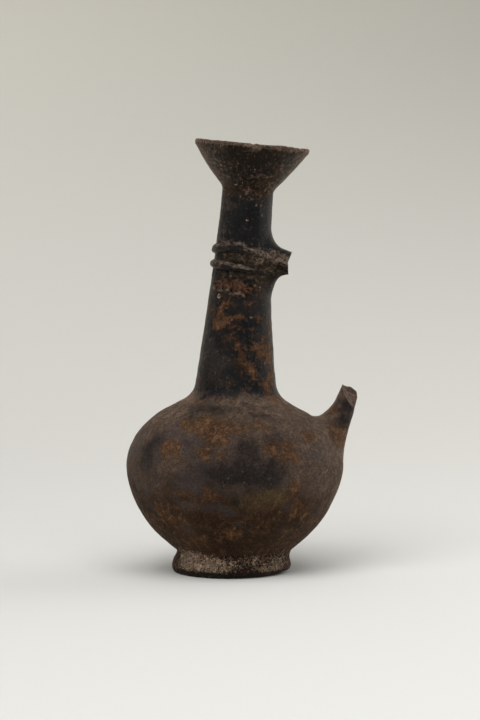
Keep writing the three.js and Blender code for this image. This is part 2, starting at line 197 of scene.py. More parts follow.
@dataclass(frozen=True)
class VesselForm:
    """The sizes of the straight vessel, and the lean of all that stands above the belly."""

    axis_x: float
    belly_radius: float = 35.0
    belly_height: float = 34.5
    base_drop: float = 33.8
    base_power: float = 1.81
    base_lift: float = 5.2
    shoulder_rise: float = 24.6
    shoulder_power: float = 1.93
    body_wall: float = 3.2
    neck_base_radius: float = 13.2
    neck_draw_radius: float = 8.9
    neck_top_radius: float = 8.3
    neck_length: float = 64.0
    neck_fillet_rise: float = 3.3
    shoulder_dip: float = 0.45
    dip_radius: float = 20.3
    dip_width: float = 3.2
    skirt_radius: float = 17.2
    skirt_rise: float = 0.9
    corner_lift: float = 0.36
    corner_tilt: float = -0.12
    corner_run: float = 16.0
    corner_below: float = 1.1
    corner_above: float = 1.4
    foot_tilt: float = 0.65
    foot_run: float = 5.0
    base_pinch: float = 0.33
    pinch_height: float = 10.0
    pinch_run: float = 4.0
    rim_radius: float = 18.6
    funnel_rise: float = 13.8
    bend_start: float = 23.5
    bend_radius: float = 1110.0
    foot_reach: float = 19.3
    foot_height: float = 8.0

    @property
    def neck_base(self) -> float:
        """Height where the neck's taper starts."""
        return self.shoulder_height(self.neck_base_radius) + self.neck_fillet_rise

    @property
    def neck_top(self) -> float:
        """Height of the corner where the neck meets the funnel."""
        return self.neck_base + self.neck_length

    def body_point(self, angle: Array | float, inset: float = 0.0) -> Array:
        """Radius and height on the body: a superellipse with one power below and one above.

        A shallow ring-shaped dip, a bell over the radius, makes the shoulder more of a cone, and a
        bell over the height pinches the body in above its foot.

        Args:
            angle: From -pi/2 at the bottom, over 0 at the widest line, to pi/2 at the top.
            inset: How far inside the outer face the points lie.

        Returns:
            Points whose last axis is radius and height.
        """
        low = angle < 0
        power = np.where(low, self.base_power, self.shoulder_power)
        rise = np.where(low, inset - self.base_drop, self.shoulder_rise - inset)
        radius = (self.belly_radius - inset) * np.abs(np.cos(angle)) ** (2 / power)
        height = self.belly_height + rise * np.abs(np.sin(angle)) ** (2 / power)
        bell = np.exp(-((radius - self.dip_radius) / self.dip_width) ** 2)
        pinch = self.base_pinch * np.exp(-((height - self.pinch_height) / self.pinch_run) ** 2)
        return np.stack([radius - np.where(low, pinch, 0.0),
                         height - np.where(low, 0.0, self.shoulder_dip) * bell], -1)

    def angle_at_height(self, height: float, inset: float = 0.0) -> float:
        """The body's angle at a height: the superellipse solved for its angle.

        Args:
            height: Height along the axis.
            inset: How far inside the outer face the point lies.

        Returns:
            The angle, below 0 under the widest line.
        """
        low = height < self.belly_height
        power = self.base_power if low else self.shoulder_power
        rise = (self.base_drop if low else self.shoulder_rise) - inset
        angle = math.asin((abs(height - self.belly_height) / rise) ** (power / 2))
        return -angle if low else angle

    def angle_at_radius(self, radius: float, inset: float = 0.0) -> float:
        """The shoulder's angle at a radius."""
        return math.acos((radius / (self.belly_radius - inset)) ** (self.shoulder_power / 2))

    def shoulder_height(self, radius: float) -> float:
        """Height of the shoulder at a radius."""
        return self.body_point(self.angle_at_radius(radius))[1]

    def neck_radius(self, height: Array | float) -> Array | float:
        """Radius of the neck at a height: a quadratic taper from its base to its top."""
        t = np.clip((height - self.neck_base) / self.neck_length, 0.0, 1.0)
        return bezier(t, self.neck_base_radius, self.neck_draw_radius, self.neck_top_radius)

    def corner_shift(self, place: Place) -> Array:
        """How far the tipped ends of the neck move a point up or down.

        The plane of the corner below the funnel is lifted and tilted. That eases out down the neck
        and runs out straight up the funnel. The neck's foot is raised by a bell over the height on
        the handle's side.

        Args:
            place: Straight x, y and s of the points.

        Returns:
            Shifts in mm along the axis.
        """
        x, y, height = place
        below = smooth_step(self.neck_top - self.corner_run, self.neck_top, height)
        above = np.clip(1 - (height - self.neck_top) / self.funnel_rise, 0.0, 1.0)
        side = x / (np.hypot(x, y) + TINY)
        corner = np.minimum(below, above) * (self.corner_lift + self.corner_tilt * side)
        bell = np.exp(-((height - self.neck_base) / self.foot_run) ** 2)
        return corner + self.foot_tilt * np.maximum(side, 0.0) * bell

    def reach(self, height: float) -> float:
        """Rough outer radius at a height, to place stains on the right face.

        Args:
            height: Height along the axis.

        Returns:
            The radius of foot, body, neck or funnel there.
        """
        if height < self.foot_height:
            return self.foot_reach
        if height < self.shoulder_height(self.neck_base_radius):
            return self.body_point(self.angle_at_height(height))[0]
        if height < self.neck_top:
            return self.neck_radius(height)
        flare = (height - self.neck_top) / self.funnel_rise
        return self.neck_top_radius + flare * (self.rim_radius - self.neck_top_radius)

    def lean(self, points: Array) -> Array:
        """Bend the straight vessel along a circle above the bend's start, and turn to metres.

        Args:
            points: Straight points, in mm, with x, y and s on the last axis.

        Returns:
            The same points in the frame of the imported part, in metres.
        """
        x, y, s = np.moveaxis(points, -1, 0)
        bend = np.maximum(s - self.bend_start, 0.0) / self.bend_radius
        leant_x = self.bend_radius * (1 - np.cos(bend)) + x * np.cos(bend)
        leant_z = np.minimum(s, self.bend_start) + self.bend_radius * np.sin(bend) - x * np.sin(bend)
        return np.stack([leant_x + self.axis_x, y, leant_z], -1) * MM


class Layer(Enum):
    """Weathering on the clay, and the painted light and shade that some layers carry. Each value is the
    name of one mask on the meshes.
    """

    BROWN = "brown"
    UMBER = "umber"
    RUST = "rust"
    SOOT = "soot"
    OLIVE = "olive"
    WEAR = "wear"
    LIME = "lime"
    SOIL = "soil"
    SCAR = "scar"
    BREAK = "break"
    BARE = "bare"


@dataclass(frozen=True)
class Patch:
    """One stain, scar, or place of painted light or shade on the front: its middle, its reach in mm and
    its strength.

    A hollow patch is a ring, as thick as that share of its reach. The depth is y of its middle,
    where that isn't on the turned face.
    """

    layer: Layer
    across: float
    height: float
    half_width: float
    half_height: float
    strength: float
    hollow: float = 0.0
    depth: float | None = None


def patches(layer: Layer, *places: tuple[float, ...]) -> tuple[Patch, ...]:
    """Patches of one layer, from the other values of each in their order."""
    return tuple(Patch(layer, *place) for place in places)


PATCHES: tuple[Patch, ...] = (
    # Orange stains on the shoulder and belly
    *patches(Layer.RUST, (-10.8, 50.5, 7.5, 1.9, 0.9), (-5.0, 46.5, 4.6, 2.9, 0.92),
             (-9.3, 41.6, 2.0, 2.1, 0.92), (-7.6, 48.8, 3.6, 1.9, 0.8),
             (33.6, 44.6, 4.0, 3.4, 0.9, 0.0, -4.0), (-3.8, 41.2, 1.0, 1.2, 0.9),
             (-20.8, 42.4, 4.6, 2.3, 0.78), (11.4, 44.2, 2.8, 2.4, 0.84),
             (17.2, 41.6, 3.4, 4.0, 0.84), (23.3, 46.6, 3.6, 2.6, 0.78),
             (31.7, 46.5, 6.5, 2.3, 0.92), (5.3, 50.2, 5.3, 1.4, 0.6),
             (-11.7, 55.6, 4.0, 1.5, 0.54), (14.0, 55.9, 5.5, 1.4, 0.6),
             (-20.0, 30.8, 3.2, 2.2, 0.6), (-9.2, 30.8, 1.7, 1.6, 0.6),
             (18.8, 29.1, 3.5, 3.0, 0.78), (-6.4, 28.0, 4.6, 2.3, 0.72),
             (-0.1, 15.5, 4.2, 3.2, 0.54), (20.5, 22.1, 4.7, 3.5, 0.6),
             (-20.8, 20.0, 5.3, 4.3, 0.6), (-12.2, 13.6, 5.2, 3.0, 0.48),
             (6.8, 23.7, 3.0, 2.0, 0.41), (-29.5, 34.1, 3.1, 6.2, 0.41)),
    # Dark bands and clouds; the broad clouds across the belly's middle front are partly fire clouds,
    # partly painted shade of its darker middle
    *patches(Layer.SOOT, (-11.3, 53.9, 5.4, 1.2, 0.7), (-15.6, 51.8, 3.4, 1.0, 0.5),
             (-4.4, 54.6, 5.2, 1.1, 0.52), (2.6, 55.2, 4.0, 1.1, 0.4), (10.1, 55.3, 3.2, 1.0, 0.4),
             (9.1, 52.7, 5.0, 1.3, 0.68), (18.8, 51.1, 4.2, 1.2, 0.4), (-11.4, 48.2, 2.8, 1.1, 0.3),
             (4.2, 42.6, 4.8, 4.2, 0.8), (8.5, 35.4, 7.5, 3.6, 0.95), (-1.5, 35.4, 9.0, 3.2, 0.8),
             (-27.6, 40.4, 4.0, 5.8, 0.75), (-24.8, 44.3, 3.1, 2.3, 0.5),
             (-17.5, 34.2, 8.0, 3.0, 0.3), (0.5, 26.5, 1.3, 3.0, 0.6), (5.3, 18.3, 2.0, 2.1, 0.55),
             (-14.9, 27.0, 1.1, 1.0, 0.5)),
    # Dark and orange places on the lower root
    *patches(Layer.SOOT, (36.4, 55.2, 3.6, 2.6, 1.0, 0.0, -5.0),
             (34.7, 50.8, 2.8, 2.2, 0.9, 0.0, -5.0)),
    *patches(Layer.RUST, (31.4, 53.0, 2.2, 2.6, 0.75, 0.0, -4.0),
             (32.6, 45.0, 2.6, 2.4, 1.0, 0.0, -5.0)),
    # Grey burnished coat that shows through
    *patches(Layer.BARE, (-13.2, 44.1, 4.6, 3.5, 0.59), (26.9, 41.2, 7.1, 4.3, 0.64),
             (-13.4, 25.1, 3.9, 1.7, 0.68), (-14.4, 18.9, 2.6, 2.8, 0.59),
             (-3.3, 23.8, 2.9, 1.7, 0.68), (2.1, 19.4, 1.6, 1.4, 0.59),
             (14.6, 46.8, 3.4, 1.5, 0.42), (2.9, 47.8, 3.3, 1.2, 0.42)),
    # Olive earth low on the belly
    *patches(Layer.OLIVE, (9.0, 27.3, 8.1, 2.6, 0.9), (15.3, 28.6, 3.6, 1.9, 0.6),
             (21.2, 19.2, 9.2, 3.9, 0.3)),
    # Orange stains down the neck
    *patches(Layer.RUST, (-5.7, 86.5, 2.3, 2.9, 0.56), (-6.7, 81.6, 3.3, 2.6, 0.66),
             (-9.8, 78.1, 2.8, 2.3, 0.34), (0.0, 83.7, 3.4, 1.4, 0.62), (1.1, 79.6, 2.9, 1.3, 0.63),
             (6.8, 82.7, 2.5, 2.3, 0.48), (8.3, 77.2, 2.9, 2.6, 0.45), (6.2, 73.3, 3.5, 2.9, 0.52),
             (-0.5, 73.5, 1.4, 1.7, 0.8), (1.5, 70.7, 1.3, 2.0, 0.72), (4.2, 67.9, 2.6, 2.9, 0.52),
             (4.1, 63.4, 2.7, 1.9, 0.3), (11.1, 66.1, 2.9, 7.1, 0.58), (9.6, 60.3, 3.4, 3.2, 0.68),
             (10.0, 77.5, 2.2, 6.0, 0.45)),
    # Grey places on the neck's sides: painted sheen of the burnished coat
    *patches(Layer.SOOT, (-6.2, 66.6, 4.8, 6.0, 0.75), (-9.2, 72.0, 3.0, 3.5, 0.6),
             (-4.8, 115.0, 2.6, 8.0, 0.45), (5.6, 113.0, 2.2, 8.0, 0.6)),
    # Brown that runs from the mouth on to the neck
    *patches(Layer.UMBER, (-4.5, 122.6, 4.0, 1.3, 0.25), (1.0, 121.8, 3.5, 2.2, 0.28),
             (5.8, 122.2, 3.5, 1.8, 0.3)),
    # Pale rubbed clay on the mouth, the neck's top and above the ridges. The patches at the funnel's
    # left and right edges are painted sheen, and the thin lines along the upper ridge's top are partly
    # painted highlight
    *patches(Layer.WEAR, (0.6, 123.2, 2.0, 1.6, 0.4), (-8.8, 131.0, 4.8, 2.9, 0.2),
             (-14.3, 133.0, 6.5, 4.5, 0.35), (14.1, 134.0, 6.8, 3.9, 0.35),
             (0.4, 128.4, 5.2, 1.6, 0.2), (-6.3, 107.2, 3.0, 0.9, 0.45),
             (-1.8, 107.4, 1.4, 0.35, 0.6), (-0.3, 106.7, 1.3, 0.35, 0.7),
             (14.6, 103.3, 1.6, 1.0, 0.8, 0.0, -5.5), (11.0, 104.2, 2.2, 1.4, 0.65, 0.0, -6.0),
             (7.8, 104.4, 2.2, 1.2, 0.72, 0.0, -8.0), (11.0, 101.9, 2.0, 1.0, 0.5, 0.0, -6.0),
             (3.1, 104.6, 2.2, 1.1, 0.55), (6.5, 125.2, 2.5, 1.2, 0.5)),
    # The flake that has come off below the ridges
    *patches(Layer.SCAR, (-7.0, 93.2, 2.3, 1.0, 0.9), (-4.2, 93.6, 2.6, 1.6, 0.95),
             (-1.2, 92.7, 2.2, 2.0, 0.95), (0.8, 91.4, 2.0, 1.5, 1.0), (3.4, 92.7, 1.8, 1.1, 0.8),
             (-3.0, 95.5, 4.0, 0.7, 0.55)),
    *patches(Layer.SOOT, (1.0, 90.9, 1.1, 0.5, 0.9), (-2.9, 92.0, 0.9, 0.6, 0.8),
             (3.2, 93.4, 1.0, 0.5, 0.7)),
    # The pale lower edge of the flake
    *patches(Layer.WEAR, (-6.9, 91.8, 1.1, 0.5, 0.8), (-5.2, 92.0, 1.2, 0.5, 0.7),
             (-3.6, 91.5, 1.1, 0.5, 0.95), (-2.2, 91.0, 1.1, 0.5, 0.95),
             (-1.0, 90.6, 1.1, 0.5, 0.9), (0.5, 90.4, 1.2, 0.5, 0.8)),
    # Specks and rings of lime on the neck, and a red fleck
    *patches(Layer.LIME, (-8.5, 92.4, 0.5, 0.6, 1.0, 0.4), (-6.9, 89.7, 0.5, 0.5, 0.9, 0.4),
             (-5.9, 91.8, 0.4, 0.35, 1.0), (4.5, 93.7, 0.45, 0.5, 0.9),
             (6.2, 93.3, 0.35, 0.35, 0.8), (3.8, 83.4, 0.4, 0.4, 0.9),
             (-3.9, 125.4, 0.55, 0.4, 0.9), (0.3, 114.4, 0.5, 0.25, 0.8)),
    *patches(Layer.WEAR, (3.0, 119.4, 0.3, 0.3, 0.7), (5.2, 116.2, 0.3, 0.35, 0.8),
             (1.6, 121.0, 0.35, 0.3, 0.65), (5.8, 121.4, 0.3, 0.3, 0.65),
             (-2.3, 121.6, 0.3, 0.3, 0.65), (4.0, 122.4, 0.4, 0.3, 0.6),
             (5.5, 102.0, 0.9, 0.9, 0.75, 0.45)),
    *patches(Layer.RUST, (-5.6, 96.7, 0.6, 0.5, 1.0)),
    # Soil in the grooves beside the ridges
    *patches(Layer.SOIL, (-7.0, 102.7, 4.5, 1.4, 0.4), (-1.0, 102.5, 4.6, 1.4, 0.75),
             (4.5, 101.8, 4.4, 1.5, 1.0), (9.0, 100.8, 5.0, 1.7, 1.0), (12.5, 99.3, 7.0, 2.2, 1.0)),
    *patches(Layer.OLIVE, (5.3, 102.4, 1.3, 0.9, 0.9)),
    *patches(Layer.SOIL, (-2.7, 97.0, 7.5, 1.6, 0.8), (6.5, 96.5, 5.4, 2.0, 0.8)),
    # Lime crust and a bare place on the foot, and a long dark band of painted shade along the foot's
    # bottom edge
    *patches(Layer.LIME, (-12.0, 4.3, 6.3, 2.6, 0.85), (-4.2, 4.1, 4.9, 2.2, 0.56),
             (-4.6, 6.2, 2.6, 1.0, 0.4), (-15.3, 5.3, 4.6, 2.3, 0.8), (6.6, 6.1, 4.2, 1.2, 0.52),
             (15.3, 4.4, 5.4, 2.9, 0.62), (10.5, 3.0, 4.4, 1.3, 0.5), (-7.5, 4.6, 5.4, 1.5, 0.6)),
    *patches(Layer.SOOT, (4.3, 4.9, 3.7, 1.6, 0.9), (2.1, 1.6, 16.3, 0.8, 0.8)),
)


@dataclass(frozen=True)
class Weather:
    """Where the clay is stained, rubbed, crusted or flaked, all over the vessel, and where light and
    shade are painted on it.
    """

    form: VesselForm
    patches: tuple[Patch, ...] = PATCHES
    brown_heights: tuple[float, ...] = (0, 8, 20, 34, 44, 54, 56.3, 59.8, 80, 92, 104, 124, 130, 139)
    brown_amounts: tuple[float, ...] = (
        0.3, 0.3, 0.35, 0.5, 0.65, 0.9, 0.85, 0.15, 0.12, 0.35, 0.3, 0.0, 0.15, 0.3)
    umber_heights: tuple[float, ...] = (0, 8, 20, 27, 34, 56, 61, 66, 80, 92, 97, 119, 124, 139)
    umber_amounts: tuple[float, ...] = (
        0.7, 0.95, 0.9, 0.7, 0.25, 0.1, 0.3, 0.3, 0.32, 0.34, 0.1, 0.0, 0.3, 0.2)
    brown_mottle: float = 0.36
    brown_mottle_size: float = 11.0
    umber_mottle: float = 0.25
    umber_mottle_size: float = 8.0
    bared: float = 0.85
    # painted light: towards the handle, on the right, the brown is raised and the umber lowered
    painted_right_light: float = 0.4
    right_light_brown_span: Span = (14.0, 32.0)
    right_light_umber_span: Span = (20.0, 33.0)
    behind_span: Span = (-0.25, 0.5)
    body_foot: Span = (8.0, 11.0)
    body_top: Span = (98.0, 90.0)
    grain_share: float = 0.2
    rust_span: Span = (0.1, 0.75)
    rust_strength: float = 0.85
    rust_size: float = 9.0
    rust_squash: float = 1.3
    soot_span: Span = (0.1, 0.8)
    soot_strength: float = 0.7
    soot_size: float = 15.0
    soot_squash: float = 1.6
    crust_span: Span = (-0.35, 0.3)
    crust_height: Span = (9.0, 6.5)
    crust_strength: float = 0.7
    crust_size: float = 6.0
    inner_brown: float = 0.75
    inner_umber: float = 0.6
    inner_soil: float = 0.55
    rim_span: Span = (137.4, 138.1)
    rim_wear: float = 0.25
    rim_brown: float = 0.65
    # painted shade along the foot's bottom edge, where the lime is cleared
    sole_shade_span: Span = (2.3, 1.3)
    sole_soot: float = 0.85
    sole_shade_clears_lime: float = 0.8
    fall: float = 0.6
    sway: float = 1.6
    sway_upright: float = 0.7
    sway_size: float = 4.5
    sway_width: float = 4.0

    def stains(self, layer: Layer, place: Place) -> Array:
        """What a layer's patches amount to at each point.

        A patch is a bell, strength * exp(-fall * distance^2), over an ellipsoid round a place on
        the front face. The points are first shifted by noise, so that the edges wander. Overlapping
        patches add up as 1 less the product of what each leaves. A ring's distance is taken from
        its own circle.

        Args:
            layer: The layer to work out.
            place: Straight x, y and s of the points.

        Returns:
            Strengths from 0 to 1.
        """
        x, y, s = place
        shift = [layered_noise(place, self.sway_size, seed)
                 for seed in (Seed.SWAY_X, Seed.SWAY_Y, Seed.SWAY_S)]
        bare = np.ones(np.broadcast(x, y, s).shape)
        for patch in (p for p in self.patches if p.layer is layer):
            depth = patch.depth
            if depth is None:
                depth = -math.sqrt(max(self.form.reach(patch.height) ** 2 - patch.across**2, 0.0))
            sway = self.sway * min(1.0, patch.half_width / self.sway_width)
            aside = np.hypot(x - patch.across + sway * shift[0], y - depth + sway * shift[1])
            above = s - patch.height + self.sway_upright * sway * shift[2]
            square = (aside / patch.half_width) ** 2 + (above / patch.half_height) ** 2
            if patch.hollow:
                square = ((np.sqrt(square) - 1) / patch.hollow) ** 2
            bare = bare * (1 - patch.strength * np.exp(-self.fall * square))
        return 1 - bare

    def masks(self, place: Place, inner: Array) -> dict[Layer, Array]:
        """All masks of a surface.

        The front carries the placed patches. Behind, noise of the same size and strength stands in.

        Args:
            place: Straight x, y and s of the points.
            inner: 1 on faces inside the vessel, 0 on its outer face.

        Returns:
            A value from 0 to 1 for each layer and point.
        """
        x, y, s = place
        behind = smooth_step(*self.behind_span, y / (np.hypot(x, y) + TINY)) * (1 - inner)
        masks = {layer: self.stains(layer, place) * (1 - inner) for layer in Layer}
        covered = (1 - self.bared * masks.pop(Layer.BARE)) * (1 - inner)
        mottle = layered_noise(place, self.brown_mottle_size, Seed.BROWN)
        # painted light: the brown rises and the umber falls towards the right
        brown = (np.interp(s, self.brown_heights, self.brown_amounts) + self.brown_mottle * mottle
                 + self.painted_right_light * smooth_step(*self.right_light_brown_span, x))
        masks[Layer.BROWN] = np.clip(brown * covered + self.inner_brown * inner, 0, 1)
        mottle = layered_noise(place, self.umber_mottle_size, Seed.UMBER)
        umber = (np.interp(s, self.umber_heights, self.umber_amounts) + self.umber_mottle * mottle
                 + masks[Layer.UMBER] - self.painted_right_light * smooth_step(*self.right_light_umber_span, x))
        masks[Layer.UMBER] = np.clip(umber * covered + self.inner_umber * inner, 0, 1)
        on_body = smooth_step(*self.body_foot, s) * smooth_step(*self.body_top, s)
        rust = layered_noise((x, y, s * self.rust_squash), self.rust_size, Seed.RUST)
        rust = np.maximum(smooth_step(*self.rust_span, rust) * behind,
                          self.grain_share * (1 - inner))
        soot = layered_noise((x, y, s * self.soot_squash), self.soot_size, Seed.SOOT, 2)
        soot = smooth_step(*self.soot_span, soot) * behind
        crust = layered_noise(place, self.crust_size, Seed.CRUST)
        crust = smooth_step(*self.crust_span, crust) * smooth_step(*self.crust_height, s) * behind
        # sole: the foot's bottom edge, which takes painted shade
        rim, sole = smooth_step(*self.rim_span, s), smooth_step(*self.sole_shade_span, s)
        for layer, least in ((Layer.RUST, self.rust_strength * rust * on_body),
                             (Layer.SOOT, self.soot_strength * soot * on_body),
                             (Layer.SOOT, self.sole_soot * sole),
                             (Layer.LIME, self.crust_strength * crust),
                             (Layer.WEAR, self.rim_wear * rim),
                             (Layer.BROWN, self.rim_brown * rim),
                             (Layer.SOIL, self.inner_soil * inner * (1 - rim))):
            masks[layer] = np.maximum(masks[layer], least)
        masks[Layer.LIME] = masks[Layer.LIME] * (1 - self.sole_shade_clears_lime * sole)
        return masks


@dataclass(frozen=True)
class ClayRelief:
    """The unevenness of a hand-built pot: lumps, dents, grit, smears, soil and the flake's hollow."""

    weather: Weather
    lump_size: float = 26.0
    lump_height: float = 0.13
    dent_size: float = 9.0
    dent_height: float = 0.10
    grit_size: float = 2.2
    grit_height: float = 0.05
    scar_edge: Span = (0.4, 0.52)
    scar_depth: float = 0.5
    scar_roughness: float = 0.5
    soil_lump: float = 0.3
    soil_size: float = 1.5
    smear_height: float = 0.68
    smear_foot: Span = (22.0, 36.0)
    smear_top: Span = (57.0, 50.0)
    smear_out: Span = (27.0, 32.0)
    smear_width: float = 11.0

    def height(self, place: Place) -> Array:
        """How far the clay stands proud: the noises summed, less the flake's rough hollow.

        The clay smeared down the belly from the handle's root adds a bell across it, eased off at
        its top and bottom.

        Args:
            place: Straight x, y and s of the points.

        Returns:
            Heights in mm, above or below the even form.
        """
        x, y, s = place
        even = (self.lump_height * layered_noise(place, self.lump_size, Seed.LUMPS, 2)
                + self.dent_height * layered_noise(place, self.dent_size, Seed.DENTS, 2)
                + self.grit_height * layered_noise(place, self.grit_size, Seed.GRIT))
        smear = (self.smear_height * smooth_step(*self.smear_foot, s) * smooth_step(*self.smear_top, s)
                 * smooth_step(*self.smear_out, x) * np.exp(-(y / self.smear_width) ** 2))
        scar = smooth_step(*self.scar_edge, self.weather.stains(Layer.SCAR, place))
        rough = layered_noise(place, self.soil_size, Seed.RUBBLE)
        crust = self.soil_lump * self.weather.stains(Layer.SOIL, place) * rough
        return even + smear + crust - scar * (self.scar_depth + self.scar_roughness * rough)


def add_object(name: str, data: bpy.types.ID) -> bpy.types.Object:
    """Put a new object into the scene.

    Args:
        name: The object's name.
        data: Its mesh, light or camera.

    Returns:
        The object.
    """
    thing = bpy.data.objects.new(name, data)
    bpy.context.scene.collection.objects.link(thing)
    return thing


@dataclass
class Outline:
    """A stretch of a turned piece's outline.

    points holds radius and height, outward the direction off the clay, rough the share of the
    unevenness that each point takes, and inner 1 for faces inside the vessel.
    """

    points: Array
    outward: Array
    rough: Array
    inner: Array

    @classmethod
    def run(cls, curve: Callable[[Array], Array], stops: Array, rough: float,
            inner: float = 0.0) -> "Outline":
        """Sample a curve. Outward is its direction turned a quarter turn clockwise.

        Args:
            curve: Gives radius and height for places along the stretch.
            stops: The places to sample.
            rough: Share of the unevenness, the same all along.
            inner: 1 for a face inside the vessel.

        Returns:
            The sampled stretch.
        """
        nudge = 1e-4 * (stops[-1] - stops[0])
        along = unit(curve(stops + nudge) - curve(stops - nudge))
        outward = np.stack([along[:, 1], -along[:, 0]], -1)
        full = np.ones(len(stops))
        return cls(curve(stops), outward, full * rough, full * inner)

    @classmethod
    def line(cls, start: Span, end: Span, count: int,
             rough: float = 0.0, inner: float = 0.0) -> "Outline":
        """A straight stretch from start to end, without its end point."""
        return cls.run(lambda t: bezier(t[:, None], np.array(start), np.array(end)),
                       np.linspace(0, 1, count, endpoint=False), rough, inner)

    @classmethod
    def join(cls, *parts: "Outline") -> "Outline":
        """One outline from stretches in order."""
        return cls(*(np.concatenate([getattr(p, name) for p in parts])
                     for name in ("points", "outward", "rough", "inner")))


@dataclass
class Skin:
    """A grid of points, rows by columns, with its masks. The columns always close on themselves.

    The rows close too, unless two end points are given, to which the first and last row are fanned.
    """

    points: Array
    masks: dict[Layer, Array]
    ends: Array | None = None

    def mesh(self, name: str, form: VesselForm) -> bpy.types.Mesh:
        """Lean the grid and make it a mesh with one point attribute for each mask.

        A cell's corners go round as (row, column), (row, column + 1), (row + 1, column + 1),
        (row + 1, column), which faces outwards when columns x rows points outwards.

        Args:
            name: Name of the mesh.
            form: The vessel whose lean the points take.

        Returns:
            The finished mesh, smooth but for its creases.
        """
        rows, columns = self.points.shape[:2]
        index = np.arange(rows * columns).reshape(rows, columns)
        if self.ends is None:
            index = np.concatenate([index, index[:1]])
        aside = np.roll(index, -1, axis=1)
        faces = np.stack([index[:-1], aside[:-1], aside[1:], index[1:]], -1).reshape(-1, 4).tolist()
        vertices = self.points.reshape(-1, 3)
        values = {layer: mask.ravel() for layer, mask in self.masks.items()}
        if self.ends is not None:
            first, last = (np.full(columns, rows * columns + k) for k in (0, 1))
            faces += np.stack([first, aside[0], index[0]], -1).tolist()
            faces += np.stack([last, index[-1], aside[-1]], -1).tolist()
            vertices = np.concatenate([vertices, self.ends])
            values = {layer: np.append(mask.ravel(), [mask[0].mean(), mask[-1].mean()])
                      for layer, mask in self.masks.items()}
        mesh = bpy.data.meshes.new(name)
        mesh.from_pydata(form.lean(vertices), [], faces)
        mesh.shade_smooth()
        mesh.validate()
        mesh.set_sharp_from_angle(angle=CREASE)
        for layer, value in values.items():
            attribute = mesh.attributes.new(layer.value, "FLOAT", "POINT")
            attribute.data.foreach_set("value", value.astype(np.float32))
        return mesh


@dataclass(frozen=True)
class StrapHandle:
    """The sizes that the two broken roots of the strap handle and the ridges share."""

    half_width: float = 5.3
    collar_drop: float = 22.7
    break_out: float = 6.2
    leave_angle: float = math.pi / 3

    def collar(self, form: VesselForm) -> float:
        """Height of the strap's middle on the neck."""
        return form.neck_top - self.collar_drop

    def break_reach(self, form: VesselForm) -> float:
        """Distance from the axis where the upper root has broken off."""
        return form.neck_radius(self.collar(form)) + self.break_out

    @staticmethod
    def oblong(angle: Array, power: float = 3.0) -> tuple[Array, Array]:
        """Unit rounded oblong: cosine and sine, each to the power 2 over the given power."""
        return tuple(np.sign(wave(angle)) * np.abs(wave(angle)) ** (2 / power)
                     for wave in (np.cos, np.sin))


@dataclass(frozen=True)
class Bench:
    """What every piece is made from: the form, the strap, the weather, the relief and finishes."""

    form: VesselForm
    strap: StrapHandle
    weather: Weather
    relief: ClayRelief
    finishes: dict[str, bpy.types.Material]

    def turn(self, outline: Outline, columns: int) -> tuple[Array, Array, Array]:
        """Turn an outline round the axis and lift each point off by the clay's unevenness.

        Args:
            outline: Closed outline, anticlockwise with the axis on its left.
            columns: Steps round the axis.

        Returns:
            Radius, angle and height, each rows by columns.
        """
        angle = np.arange(columns) / columns * TURN
        radius, height = (outline.points[:, k, None] + 0 * angle for k in (0, 1))
        lift = self.relief.height((radius * np.cos(angle), radius * np.sin(angle), height))
        lift = lift * outline.rough[:, None]
        return (radius + outline.outward[:, 0, None] * lift, angle + 0 * radius,
                height + outline.outward[:, 1, None] * lift)

    def turned_skin(self, radius: Array, angle: Array, height: Array, inner: Array,
                    ends: Array | None = None, shift: Array | float = 0.0) -> Skin:
        """Make a skin of turned points.

        Args:
            radius: Distance from the axis.
            angle: Angle round the axis, from the handle's side.
            height: Height along the axis.
            inner: 1 for rows inside the vessel.
            ends: End points where the rows don't close.
            shift: Sideways shift towards the handle.

        Returns:
            The skin with its masks.
        """
        x, y = radius * np.cos(angle) + shift, radius * np.sin(angle)
        masks = self.weather.masks((x, y, height), inner[:, None] + 0 * angle)
        points = np.stack([x, y, height + self.form.corner_shift((x, y, height))], -1)
        return Skin(points, masks, ends)


class ClayPiece(ABC):
    """A piece of clay, which stands for one node of the frame and wears one finish."""

    node: str
    slot: str

    @abstractmethod
    def build(self, bench: Bench) -> Skin:
        """Make the piece's skin."""

    def dress(self, bench: Bench) -> bpy.types.Object:
        """Put the piece's skin into the scene in place of its node.

        Args:
            bench: The shared form, strap and weather, and the finishes.

        Returns:
            The new object.
        """
        name = f"{self.node}_skin"
        piece = add_object(name, self.build(bench).mesh(name, bench.form))
        piece.data.materials.append(bench.finishes[self.slot])
        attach(piece, "root")
        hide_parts(self.node)
        return piece


